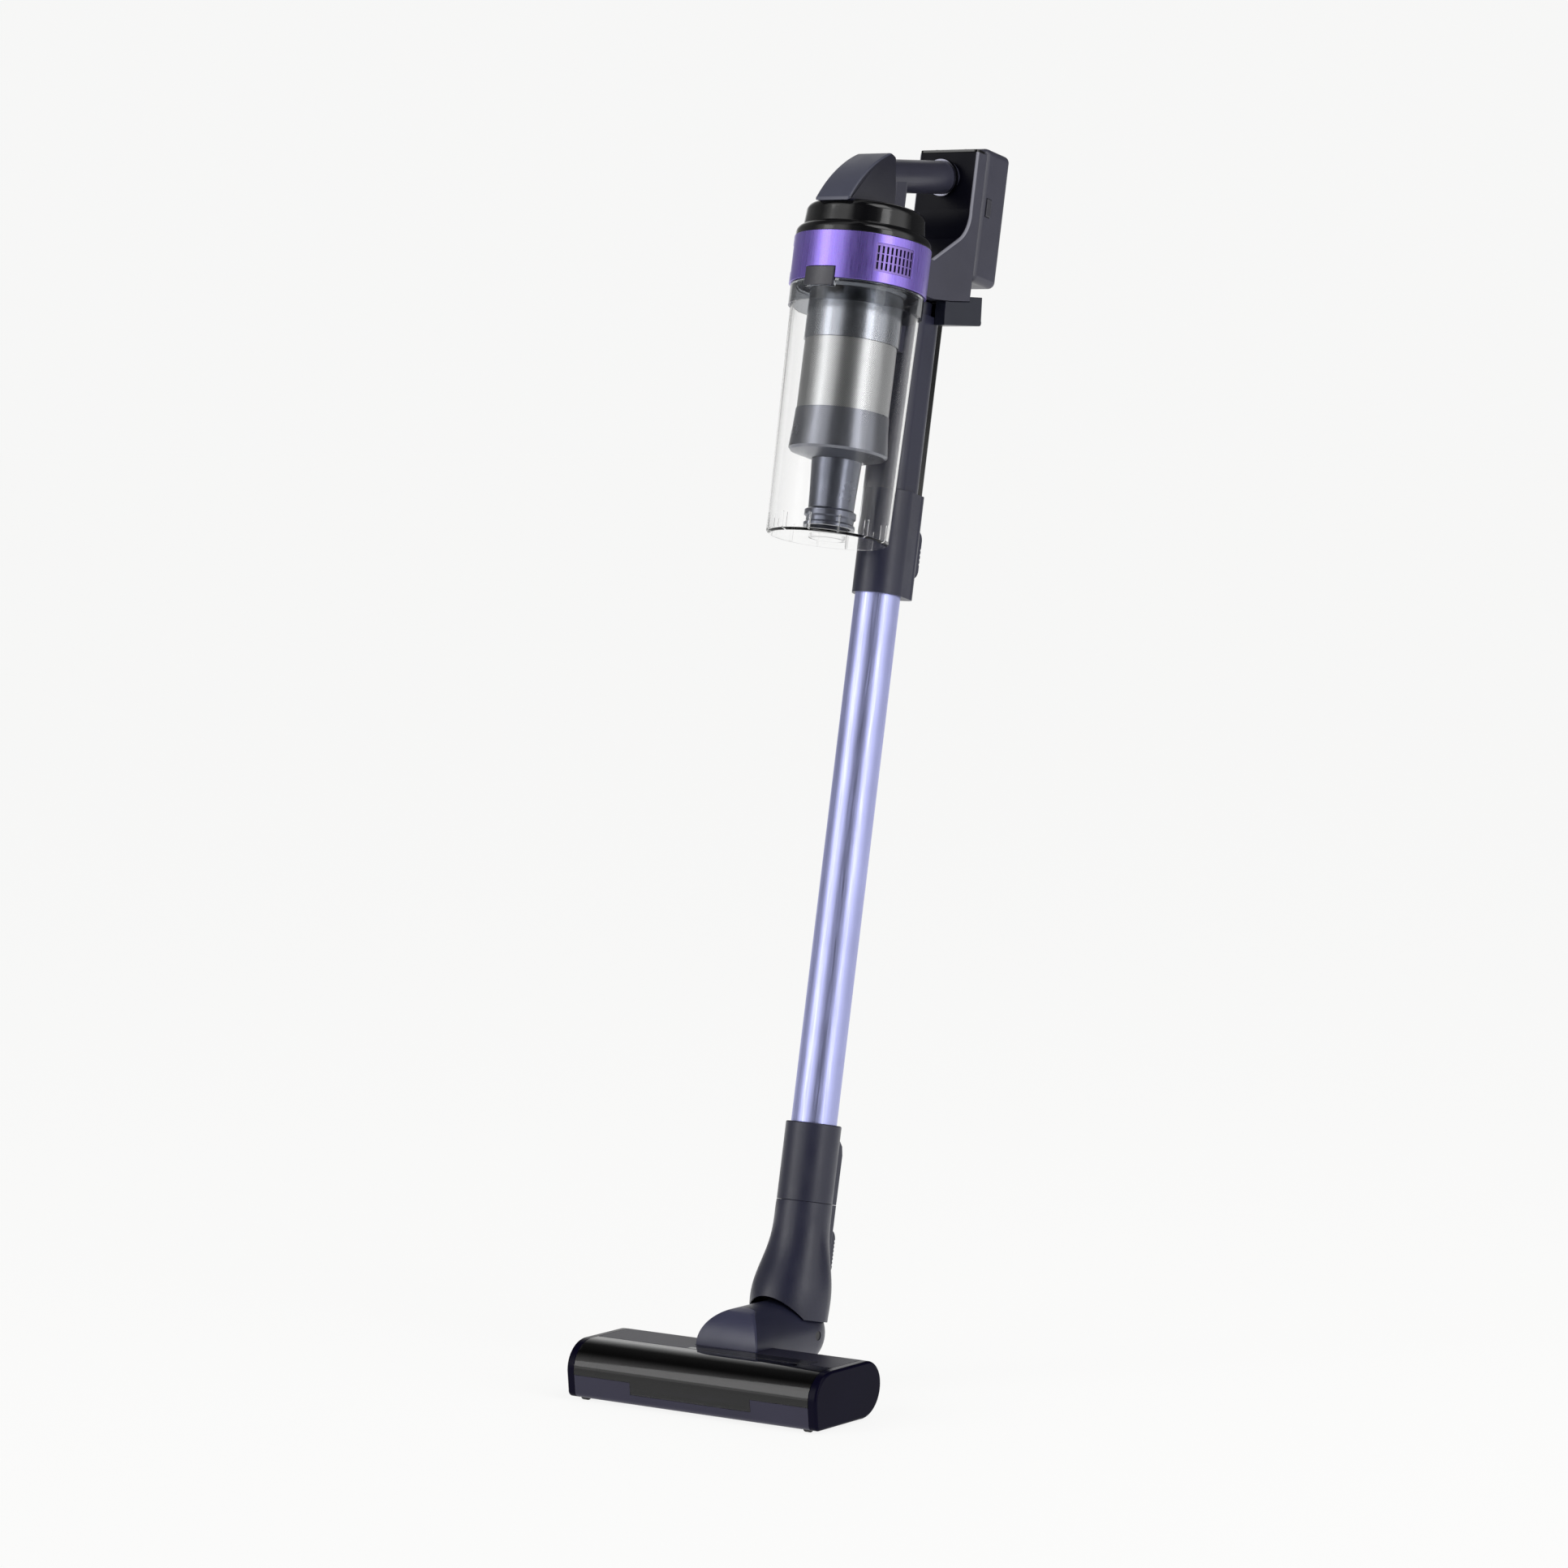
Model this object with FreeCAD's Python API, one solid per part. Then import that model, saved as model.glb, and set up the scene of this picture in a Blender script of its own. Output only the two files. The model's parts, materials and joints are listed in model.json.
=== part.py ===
"""Cordless stick vacuum, leaning back over its floor head. Millimetres, +Z up, head facing -Y.

The origin is on the floor, under the middle of the whole machine. The stick is drawn upright about
its neck hinge, with the pipe on its Z axis, and is then leaned back and set on the head.
"""
import FreeCAD, Part
import math
import os

V = FreeCAD.Vector

# ---- driving dimensions -------------------------------------------------------------------------
LEAN = 12.0                 # how far the stick leans back at rest, degrees
FOREMOST_LEAN = 5.0         # the neck's front stop, degrees
FARTHEST_LEAN = 78.0        # the neck's rear stop, degrees
ROLL_LIMIT = 50.0           # how far the head rolls under the stick, each way, degrees
GAP = 0.3                   # clearance between pieces that move past each other
FIT = 0.08                  # radial clearance of a running fit

HEAD_WIDTH = 258.0
HEAD_DEPTH = 95.0
HEAD_HEIGHT = 50.0
HEAD_FRONT = -222.4         # Y of the head's foremost line
HINGE_Y = HEAD_FRONT + 143.5
HINGE_Z = 50.0              # neck hinge, and the axis that the head rolls about
KNUCKLE_R = 31.0

PIPE_R = 19.75
PIPE_WALL = 1.2
WALL = 2.2                  # moulded shells

BIN_Y = -85.0               # dust bin axis, in front of the pipe
RING_R = 59.2
RING_BOTTOM = 887.0
RING_TOP = 928.0
BIN_BOTTOM = 671.0
BIN_TOP_R = 55.8
BIN_BOTTOM_R = 52.8

COLLAR_BOTTOM = 112.0
COLLAR_TOP = 179.0
CONNECTOR_BOTTOM = 638.0
CONNECTOR_TOP = 729.0
TUBE_TOP = 884.0

COLUMN_HALF = 31.0
COLUMN_FRONT = 27.0
COLUMN_BACK = 41.0
COLUMN_TOP = 1037.0
BATTERY_HALF = 27.0
BATTERY_FRONT = 47.0
BATTERY_BACK = 87.0
BATTERY_BOTTOM = 926.0
BATTERY_TOP = 1045.0
GRIP_R = 14.5

BRUSH_Y = 24.5              # brush axis behind the head's front, and above the floor
BRUSH_Z = 22.5
BRISTLE_R = 21.5


# ---- drawing helpers ----------------------------------------------------------------------------
def box(x0, x1, y0, y1, z0, z1):
    return Part.makeBox(x1 - x0, y1 - y0, z1 - z0, V(x0, y0, z0))


def rod(start, end, radius):
    run = V(*end) - V(*start)
    return Part.makeCylinder(radius, run.Length, V(*start), run)


def tube(start, end, outer, inner):
    return rod(start, end, outer).cut(rod(start, end, inner))


def cone(start, end, r_start, r_end):
    run = V(*end) - V(*start)
    return Part.makeCone(r_start, r_end, run.Length, V(*start), run)


def join(shapes):
    whole = shapes[0].multiFuse(shapes[1:]) if len(shapes) > 1 else shapes[0]
    return whole.removeSplitter()


def outline(at, start, *steps):
    """Flat face: a step of two numbers is a line's end, one of four an arc's middle and end."""
    edges = []
    here = start
    for step in steps + (start,):
        end = step[-2:]
        if len(step) == 4:
            edges.append(Part.Arc(at(*here), at(*step[:2]), at(*end)).toShape())
        elif math.dist(here, end) > 1e-6:
            edges.append(Part.LineSegment(at(*here), at(*end)).toShape())
        here = end
    return Part.Face(Part.Wire(edges))


def prism_x(x0, x1, start, *steps):
    """An outline in Y and Z, drawn out along X."""
    return outline(lambda y, z: V(x0, y, z), start, *steps).extrude(V(x1 - x0, 0, 0))


def prism_z(z0, z1, start, *steps):
    """An outline in X and Y, drawn up along Z."""
    return outline(lambda x, y: V(x, y, z0), start, *steps).extrude(V(0, 0, z1 - z0))


def turned(centre_y, start, *steps):
    """An outline of radius and height, turned about the upright line at X 0 and the given Y."""
    face = outline(lambda r, z: V(r, centre_y, z), start, *steps)
    return face.revolve(V(0, centre_y, 0), V(0, 0, 1), 360)


def slab(x_half, y0, y1, z0, z1, r):
    """Upright block with rounded vertical edges."""
    k = r * (1 - math.sqrt(0.5))
    return prism_z(z0, z1, (-x_half + r, y0), (x_half - r, y0), (x_half - k, y0 + k, x_half, y0 + r),
                   (x_half, y1 - r), (x_half - k, y1 - k, x_half - r, y1), (-x_half + r, y1),
                   (-x_half + k, y1 - k, -x_half, y1 - r), (-x_half, y0 + r),
                   (-x_half + k, y0 + k, -x_half + r, y0))


def rounded(shape, radius, keep):
    """Round the edges whose middle point passes the test."""
    edges = [e for e in shape.Edges if keep(e.CenterOfMass)]
    return shape.makeFillet(radius, edges)


def egg(z, half, front, rear, points=32):
    """Closed smooth ring: half as wide in X, reaching -front and +rear in Y."""
    ring = []
    for i in range(points):
        a = 2 * math.pi * i / points
        reach = rear if math.sin(a) > 0 else front
        ring.append(V(half * math.cos(a), reach * math.sin(a), z))
    curve = Part.BSplineCurve()
    curve.interpolate(ring, PeriodicFlag=True)
    return Part.Wire([curve.toShape()])


def on_stick(shape):
    """From the upright stick's frame, with the hinge at its origin, to the machine's frame."""
    placed = shape.copy()
    placed.rotate(V(0, 0, 0), V(1, 0, 0), -LEAN)
    placed.translate(V(0, HINGE_Y, HINGE_Z))
    return placed


def on_head(shape):
    """From the head's frame, with Y measured from its front, to the machine's frame."""
    placed = shape.copy()
    placed.translate(V(0, HEAD_FRONT, 0))
    return placed


def around_bin(z0, z1, outer, inner):
    return tube((0, BIN_Y, z0), (0, BIN_Y, z1), outer, inner)


stick = {}
head = {}


# ---- handheld body: housing, ring and cap -------------------------------------------------------
RING_IN = RING_R - 2.6
BRACKET = COLUMN_HALF - 0.5
BUTTON_HALF = 14.5          # bin release button, at the front of the ring's lower edge
BUTTON_TOP = 896.0


def bracket_keep():
    """The space behind the ring that the handle frame takes up."""
    return box(-BRACKET - 0.2, BRACKET + 0.2, BIN_Y + 30, 60, 800, 960)


def motor_housing():
    wall = around_bin(RING_BOTTOM, RING_TOP, RING_IN - 0.1, RING_IN - 0.1 - WALL)
    floor = around_bin(RING_BOTTOM, RING_BOTTOM + 3, RING_IN - 1, 30)
    deck = around_bin(RING_TOP - 11, RING_TOP - 8, RING_IN - 1, 37)
    notch = box(-BUTTON_HALF - 0.5, BUTTON_HALF + 0.5, BIN_Y - 70, BIN_Y - 48, 880, BUTTON_TOP + 0.5)
    return join([wall, floor, deck]).cut(notch)


def ring_cover():
    ring = around_bin(RING_BOTTOM - 0.2, RING_TOP - 0.2, RING_R, RING_IN)
    notch = box(-BUTTON_HALF - 0.5, BUTTON_HALF + 0.5, BIN_Y - 70, BIN_Y - 40, 880, BUTTON_TOP + 0.5)
    return ring.cut(bracket_keep()).cut(notch).cut(vent_zone(0.15, RING_IN - 1, RING_R + 1))


VENT_MIDDLE = 65.0          # angle of each exhaust vent from the front, degrees
VENT_SPAN = 36.0
VENT_Z = (896.0, 920.0)


def sector(middle, span, radius, z0, z1):
    wedge = Part.makeCylinder(radius, z1 - z0, V(0, BIN_Y, z0), V(0, 0, 1), span)
    wedge.rotate(V(0, BIN_Y, 0), V(0, 0, 1), -90 + middle - span / 2)
    return wedge


def vent_zone(ease, inner, outer):
    grow = math.degrees(ease / RING_R)
    both = [sector(side * VENT_MIDDLE, VENT_SPAN + 2 * grow, outer, VENT_Z[0] - ease, VENT_Z[1] + ease)
            for side in (-1, 1)]
    return join(both).cut(rod((0, BIN_Y, 800), (0, BIN_Y, 1000), inner))


def vent_mesh():
    """Two curved grilles, each with a grid of through slots."""
    grille = vent_zone(0, RING_IN + 0.2, RING_R - 0.5)
    slots = []
    for side in (-1, 1):
        for i in range(9):
            angle = math.radians(side * VENT_MIDDLE - 16 + 4.0 * i)
            out = V(math.sin(angle), -math.cos(angle), 0)
            for row in range(3):
                z = VENT_Z[0] + 1.6 + 7.1 * row
                slot = Part.makeBox(12, 1.9, 6.2, V(0, -0.95, z))
                slot.rotate(V(0, 0, 0), V(0, 0, 1), math.degrees(math.atan2(out.y, out.x)))
                slot.translate(V(out.x * 50, BIN_Y + out.y * 50, 0))
                slots.append(slot)
    return grille.cut(Part.makeCompound(slots))


DRUM_TOP = 958.0


def dome():
    return turned(BIN_Y, (0, RING_TOP), (58.6, RING_TOP), (58.4, 931), (56.5, 936, 52.8, 938),
                  (51.6, 950), (49.6, 955.6, 44, DRUM_TOP), (0, DRUM_TOP))


def top_cap():
    hollow = turned(BIN_Y, (0, RING_TOP - 1), (56.0, RING_TOP - 1), (56.0, 931), (54.5, 934, 50.4, 936),
                    (49.2, 950), (47.6, 953.6, 43.4, DRUM_TOP - WALL), (0, DRUM_TOP - WALL))
    return dome().cut(hollow)


def cover_block(half, ease):
    """Outline of the sloping motor cover, smaller all round by ease."""
    e = ease
    return prism_x(-half, half, (-138.5 + 2 * e, 940), (-138.5 + 2 * e, 953),
                   (-116 + 0.8 * e, 985.5 - e, -84, 1008.5 - e), (-76 - e, 1006.5 - e), (-70 - e, 976),
                   (-70 - e, 940))


def motor_cover():
    """Sloping cover over the top of the motor, which carries the front end of the grip."""
    return cover_block(18, 0).cut(cover_block(18 - WALL, WALL)).cut(dome())


stick["motor_housing"] = motor_housing()
stick["ring_cover"] = ring_cover()
stick["vent_mesh"] = vent_mesh()
stick["top_cap"] = top_cap()
stick["motor_cover"] = motor_cover()


# ---- handheld body: handle, column and battery dock ---------------------------------------------
GRIP_FRONT = (0, -72.6, 991.2)
GRIP_REAR = (0, COLUMN_FRONT, 1013.6)
RING_GAP_R = RING_R + 0.2


def handle_frame():
    """Bracket behind the ring and the upright column, one hollow moulding."""
    outer = prism_x(-COLUMN_HALF, COLUMN_HALF, (-45, 896), (-14, 896), (12, 900), (COLUMN_BACK, 906),
                    (COLUMN_BACK, COLUMN_TOP), (COLUMN_FRONT, COLUMN_TOP + 1.5),
                    (COLUMN_FRONT, 985), (24.4, 968, 14, 955.5), (-24, 928.5), (-45, 928.5))
    outer = rounded(outer, 3.0, lambda m: abs(abs(m.x) - COLUMN_HALF) < 0.1 and m.y < 30 and m.z > 928.6)
    inner = prism_x(-COLUMN_HALF + WALL, COLUMN_HALF - WALL, (-50, 899), (-14, 899), (12, 903),
                    (COLUMN_BACK - WALL, 908.5), (COLUMN_BACK - WALL, COLUMN_TOP + 5),
                    (COLUMN_FRONT + WALL, COLUMN_TOP + 5), (COLUMN_FRONT + WALL, 980),
                    (25.4, 963, 15, 952), (-24, 925), (-50, 925))
    ring = rod((0, BIN_Y, 880), (0, BIN_Y, 940), RING_GAP_R)
    deck = box(-COLUMN_HALF - 1, COLUMN_HALF + 1, 0, COLUMN_BACK + 1, COLUMN_TOP - 1, COLUMN_TOP + 5)
    bore = rod((0, 0, 880), (0, 0, 906), 17.2)
    return outer.cut(inner).cut(ring).cut(deck).cut(bore)


def column_foot():
    """Foot of the column, under the battery."""
    block = prism_x(-COLUMN_HALF, COLUMN_HALF, (4, 898.3), (6.5, 877.5), (60, 888), (63, 890, 62.5, 893),
                    (60, 913.5), (41.4, 910), (41.4, 905.4), (12, 899.4))
    block = block.cut(box(-40, 40, -20, 5, 870, 900))
    pocket = prism_x(-COLUMN_HALF + 2.4, COLUMN_HALF - 2.4, (22.5, 903), (23, 884), (59, 891), (57, 910.4),
                     (43, 907.6), (43, 903.4))
    well = prism_z(860, 930, (-20.5, -22), (20.5, -22), (20.5, 20), (12, 25), (12, 35.2), (-12, 35.2),
                   (-12, 25), (-20.5, 20))
    return block.cut(pocket).cut(well)


def handle_grip():
    """Oval tube between the motor cover and the column, with a leg down to the cap."""
    run = V(*GRIP_REAR) - V(*GRIP_FRONT)
    grip = rod(GRIP_FRONT, GRIP_REAR, GRIP_R)
    grip = grip.cut(rod(GRIP_FRONT, GRIP_REAR, GRIP_R - WALL))
    leg = slab(13.5, -69.6, -45.0, 950, 994, 6).cut(slab(11.3, -67.4, -47.2, 940, 1000, 4))
    leg = leg.cut(rod(GRIP_FRONT, GRIP_REAR, GRIP_R - WALL)).cut(dome())
    above = box(-20, 20, -75, -40, 996, 1030)
    whole = join([grip, leg.cut(above)])
    whole = whole.cut(box(-30, 30, COLUMN_FRONT, COLUMN_FRONT + 20, 980, 1040))
    return whole.cut(box(-20, 20, -90, -69.8, 940, 990)).cut(cover_block(18, 0))


def grip_ring():
    """Bright trim ring where the grip meets the column."""
    run = V(*GRIP_REAR) - V(*GRIP_FRONT)
    along = run.normalize()
    start = V(*GRIP_REAR) - along * 8.4
    end = V(*GRIP_REAR) - along * 4.4
    return tube(tuple(start), tuple(end), GRIP_R + 1.6, GRIP_R + 0.05)


def battery_dock():
    """Recessed black rail between the column and the battery."""
    plate = box(-20, 20, COLUMN_BACK, BATTERY_FRONT - GAP, 915, 1030)
    rails = [box(s * 15.5 - 1.5, s * 15.5 + 1.5, BATTERY_FRONT - GAP, BATTERY_FRONT + 1.6, 935, 1020)
             for s in (-1, 1)]
    return join([plate] + rails)


def battery_contacts():
    return join([box(x - 2, x + 2, BATTERY_FRONT - GAP, BATTERY_FRONT + 1.2, 930, 946) for x in (-8, 0, 8)])


PANEL_BUTTON_R = 4.5


def control_panel():
    """Top plate of the column, with wells for the two buttons."""
    plate = slab(COLUMN_HALF - 0.6, COLUMN_FRONT - 1.0, COLUMN_BACK - 0.4,
                 COLUMN_TOP - 0.9, COLUMN_TOP + 1.2, 4)
    skirt = slab(COLUMN_HALF - WALL - 0.3, COLUMN_FRONT + WALL + 0.4, COLUMN_BACK - WALL - 0.3,
                 COLUMN_TOP - 2.9, COLUMN_TOP - 0.9, 3)
    wells = [rod((x, 34, COLUMN_TOP - 4), (x, 34, COLUMN_TOP + 4), PANEL_BUTTON_R + GAP) for x in (-15, 15)]
    return join([plate, skirt]).cut(Part.makeCompound(wells))


def panel_button(x):
    cap = rod((x, 34, COLUMN_TOP - 4.9), (x, 34, COLUMN_TOP + 2.4), PANEL_BUTTON_R)
    cap = rounded(cap, 0.7, lambda m: m.z > COLUMN_TOP + 2.3)
    return cap


def circuit_board():
    board = box(-22, 22, 33, 34.6, 960, 1026)
    chips = [box(x - 4, x + 4, 34.6, 36.4, z - 4, z + 4) for x in (-12, 8) for z in (975, 995)]
    return join([board] + chips)


stick["handle_frame"] = handle_frame()
stick["column_foot"] = column_foot()
stick["handle_grip"] = handle_grip()
stick["grip_ring"] = grip_ring()
stick["battery_dock"] = battery_dock()
stick["battery_contacts"] = battery_contacts()
stick["control_panel"] = control_panel()
stick["power_button"] = panel_button(-15)
stick["mode_button"] = panel_button(15)
stick["circuit_board"] = circuit_board()


# ---- battery ------------------------------------------------------------------------------------
LATCH_Z = (985.0, 1001.0)
JACK_Z = 1018.0             # charging socket in the battery's back
JACK_R = 2.8
JACK_DEPTH = 9.0


def battery_case():
    case = slab(BATTERY_HALF, BATTERY_FRONT, BATTERY_BACK, BATTERY_BOTTOM, BATTERY_TOP, 7)
    case = rounded(case, 6.0, lambda m: m.z > BATTERY_TOP - 0.1 or m.z < BATTERY_BOTTOM + 0.1)
    hollow = box(-BATTERY_HALF + 3, BATTERY_HALF - 3, BATTERY_FRONT + 1.8, BATTERY_BACK - 1.6,
                 BATTERY_BOTTOM + 8, BATTERY_TOP - 8)
    grooves = [box(s * 15.5 - 2, s * 15.5 + 2, BATTERY_FRONT - 1, BATTERY_FRONT + 2.2, 900, 1022)
               for s in (-1, 1)]
    seats = box(-11, 11, BATTERY_FRONT - 1, BATTERY_FRONT + 1.7, 900, 948)
    boss = rod((0, BATTERY_BACK - 10.5, JACK_Z), (0, BATTERY_BACK - 1, JACK_Z), 5)
    jack = rod((0, BATTERY_BACK - JACK_DEPTH, JACK_Z), (0, BATTERY_BACK + 1, JACK_Z), JACK_R)
    latch = box(BATTERY_HALF - 5, BATTERY_HALF + 1, BATTERY_FRONT + 7, BATTERY_FRONT + 15,
                LATCH_Z[0] - 0.4, LATCH_Z[1] + 0.4)
    case = join([case.cut(hollow), boss])
    return case.cut(join(grooves)).cut(seats).cut(latch).cut(jack)


def battery_cells():
    cells = [rod((x, y, BATTERY_BOTTOM + 9), (x, y, BATTERY_BOTTOM + 74), 9.1)
             for x in (-9.6, 9.6) for y in (57.9, 76.2)]
    return Part.makeCompound(cells)


def battery_latch():
    return rounded(box(BATTERY_HALF - 3.2, BATTERY_HALF + 1.2, BATTERY_FRONT + 7.4, BATTERY_FRONT + 14.6,
                       *LATCH_Z), 0.8, lambda m: m.x > BATTERY_HALF + 1.1)


stick["battery_case"] = battery_case()
stick["battery_cells"] = battery_cells()
stick["battery_latch"] = battery_latch()


# ---- motor, fan and filter ----------------------------------------------------------------------
SHAFT_R = 3.0


def suction_motor():
    can = around_bin(918.5, 952, 36, 33.5)
    top = around_bin(949, 952, 34, SHAFT_R + FIT)
    bottom = around_bin(918.5, 921.5, 34, SHAFT_R + FIT)
    coils = []
    for i in range(6):
        angle = math.radians(60 * i)
        x = 24 * math.cos(angle)
        y = BIN_Y + 24 * math.sin(angle)
        coils.append(rod((x, y, 921.5), (x, y, 949), 6))
    return join([can, top, bottom] + coils)


def motor_shaft():
    rotor = rod((0, BIN_Y, 924), (0, BIN_Y, 946), 15)
    return join([rod((0, BIN_Y, 903), (0, BIN_Y, 954), SHAFT_R), rotor])


def impeller():
    hub = rod((0, BIN_Y, 905), (0, BIN_Y, 916), 8)
    plate = rod((0, BIN_Y, 914), (0, BIN_Y, 916), 34)
    blades = []
    for i in range(9):
        blade = box(6, 33, -0.8, 0.8, 906, 914.5)
        blade.rotate(V(0, 0, 0), V(0, 0, 1), 40 * i)
        blade.translate(V(0, BIN_Y, 0))
        blades.append(blade)
    return join([hub, plate] + blades).cut(rod((0, BIN_Y, 890), (0, BIN_Y, 930), SHAFT_R))


def pre_filter():
    return around_bin(RING_BOTTOM + 3.2, RING_BOTTOM + 11, 50, 8).cut(
        box(-BUTTON_HALF - 1, BUTTON_HALF + 1, BIN_Y - 70, BIN_Y - 46, 880, 900))


stick["suction_motor"] = suction_motor()
stick["motor_shaft"] = motor_shaft()
stick["impeller"] = impeller()
stick["pre_filter"] = pre_filter()


# ---- cyclone and dust bin -----------------------------------------------------------------------
def cyclone_top():
    return turned(BIN_Y, (39.0, 840.7), (40.6, 840.7), (40.6, 884), (43, 886.8), (28, 886.8), (39.0, 884.5))


def mesh_screen():
    return around_bin(780.5, 840.5, 39.6, 38.6)


def cyclone_skirt():
    return turned(BIN_Y, (38.8, 780.3), (40.2, 780.3), (42.6, 746.5), (40.8, 744.4), (23.5, 739.5),
                  (21.0, 739.5), (21.0, 741.6), (39.6, 747.2))


def dust_cone():
    return turned(BIN_Y, (19.2, 739.2), (21.6, 739.2), (20.2, 712), (19.6, 697), (22.2, 695), (22.2, 690.5),
                  (20.6, 689), (20.6, 685.5), (22.0, 684), (22.0, 681.5), (18.5, 681.5), (17.8, 697))


def bin_shell():
    outer = cone((0, BIN_Y, BIN_BOTTOM), (0, BIN_Y, 884.5), BIN_BOTTOM_R, BIN_TOP_R)
    outer = rounded(outer, 3.5, lambda m: m.z < BIN_BOTTOM + 0.1)
    inner = cone((0, BIN_Y, BIN_BOTTOM + 2.4), (0, BIN_Y, 885.5), BIN_BOTTOM_R - 2.0, BIN_TOP_R - 2.0)
    shell = outer.cut(inner)
    boss = around_bin(BIN_BOTTOM + 2, BIN_BOTTOM + 6, 16, 14)
    ribs = []
    for i in range(12):
        rib = box(46.5, 51.5, -0.6, 0.6, BIN_BOTTOM + 2, BIN_BOTTOM + 16)
        rib.rotate(V(0, 0, 0), V(0, 0, 1), 30 * i + 15)
        rib.translate(V(0, BIN_Y, 0))
        ribs.append(rib)
    inlet = slab(11.5, -40, -22, 846, 872, 3)
    return join([shell, boss] + ribs).cut(inlet)


def bin_rim():
    """Dark collar at the bin's mouth, which the release button holds."""
    rim = around_bin(868.5, 886.2, RING_R - 1.6, BIN_TOP_R + 0.1)
    rim = join([rim, around_bin(884.6, 886.2, RING_R - 1.6, BIN_TOP_R - 3.5)])
    front = box(-BUTTON_HALF - 0.5, BUTTON_HALF + 0.5, BIN_Y - 70, BIN_Y - 40, 879.5, 890)
    rear = slab(13, -40, -22, 840, 875, 3)
    return rim.cut(front).cut(rear)


def bin_button():
    """Sprung catch in the ring's lower edge: pressed in, it lets the bin go."""
    pad = around_bin(880.0, BUTTON_TOP, RING_R + 1.4, RING_R - 1.2)
    pad = pad.common(box(-BUTTON_HALF, BUTTON_HALF, BIN_Y - 70, BIN_Y - 20, 870, 900))
    stem = box(-5, 5, BIN_Y - RING_R + 1.0, BIN_Y - 51.5, 889.5, 894.5)
    return join([pad, stem])


stick["cyclone_top"] = cyclone_top()
stick["mesh_screen"] = mesh_screen()
stick["cyclone_skirt"] = cyclone_skirt()
stick["dust_cone"] = dust_cone()
stick["bin"] = bin_shell()
stick["bin_rim"] = bin_rim()
stick["bin_button"] = bin_button()


# ---- suction tube and connector -----------------------------------------------------------------
def suction_tube():
    outer = slab(20, -20, 22, CONNECTOR_TOP + 0.2, TUBE_TOP, 13)
    inner = slab(18, -18, 20, CONNECTOR_TOP, TUBE_TOP - 2, 11)
    duct = slab(10.5, -27.0, -14, 847, 871, 2.5)
    duct_hole = slab(8.5, -31, -16, 849, 869, 1.5)
    neck = rod((0, 0, TUBE_TOP - 4), (0, 0, 896), 17.0).cut(rod((0, 0, TUBE_TOP - 5), (0, 0, 900), 14.8))
    body = outer.cut(inner)
    body = body.cut(rod((0, 0, TUBE_TOP - 5), (0, 0, 896), 14.8))
    return join([body, duct, neck]).cut(duct_hole).cut(inner)


def tube_channel():
    """Dark cable channel down the back of the suction tube."""
    outer = slab(11.5, 22.2, 34.5, CONNECTOR_TOP + 0.2, TUBE_TOP, 3)
    inner = slab(9.5, 20, 32.5, CONNECTOR_TOP + 2, TUBE_TOP - 2, 2)
    return outer.cut(inner)


def connector_profile(z0, z1):
    return prism_z(z0, z1, (-22.6, 2), (0, -22.6, 22.6, 2), (20.4, 19), (19, 25, 13, 27.5), (-13, 27.5),
                   (-19, 25, -20.4, 19))


PIPE_BUTTON_Z = (659.0, 700.0)


def connector():
    body = connector_profile(CONNECTOR_BOTTOM, CONNECTOR_TOP)
    bore = rod((0, 0, CONNECTOR_BOTTOM - 1), (0, 0, CONNECTOR_TOP - 9), PIPE_R + FIT)
    throat = rod((0, 0, CONNECTOR_BOTTOM), (0, 0, CONNECTOR_TOP + 1), 17.5)
    pocket = box(-13.3, 13.3, 21.6, 40, PIPE_BUTTON_Z[0] - GAP, PIPE_BUTTON_Z[1] + GAP)
    return body.cut(bore).cut(throat).cut(pocket)


def rear_button(half, y0, y1, z0, z1, rib_from, rib_pitch, ribs):
    pad = prism_x(-half, half, (y0, z0), (y1 - 5, z0), (y1 - 1.5, z0 + 3, y1, z0 + 9), (y1, z1 - 9),
                  (y1 - 1.5, z1 - 3, y1 - 5, z1), (y0, z1))
    levels = [rib_from + rib_pitch * i for i in range(ribs)]
    grooves = [rod((-half - 1, y1 + 0.5, z), (half + 1, y1 + 0.5, z), 1.2) for z in levels]
    return pad.cut(Part.makeCompound(grooves))


def pipe_button():
    return rear_button(13, 24.2, 38.5, PIPE_BUTTON_Z[0], PIPE_BUTTON_Z[1], 672, 4.2, 4)


stick["suction_tube"] = suction_tube()
stick["tube_channel"] = tube_channel()
stick["connector"] = connector()
stick["pipe_button"] = pipe_button()


# ---- pipe and its lower collar ------------------------------------------------------------------
PIPE_TOP = CONNECTOR_TOP - 10
PIPE_FOOT = COLLAR_BOTTOM + 30
SPIGOT_R = 18.9


def pipe():
    return tube((0, 0, PIPE_FOOT), (0, 0, PIPE_TOP), PIPE_R, PIPE_R - PIPE_WALL)


def lower_collar():
    body = rod((0, 0, COLLAR_BOTTOM), (0, 0, COLLAR_TOP), 24.0)
    body = rounded(body, 1.2, lambda m: m.z > COLLAR_TOP - 0.1)
    rail = prism_x(-12, 12, (0, COLLAR_BOTTOM), (32.5, COLLAR_BOTTOM), (33, 155), (31, 163), (26, 168),
                   (0, 168))
    rail = rounded(rail, 2.5, lambda m: abs(abs(m.x) - 12) < 0.1 and m.y > 24)
    body = join([body, rail])
    pipe_seat = rod((0, 0, PIPE_FOOT), (0, 0, COLLAR_TOP + 1), PIPE_R)
    socket = rod((0, 0, COLLAR_BOTTOM - 1), (0, 0, PIPE_FOOT + 1), SPIGOT_R + FIT)
    return body.cut(pipe_seat).cut(socket)


stick["pipe"] = pipe()
stick["lower_collar"] = lower_collar()


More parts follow.
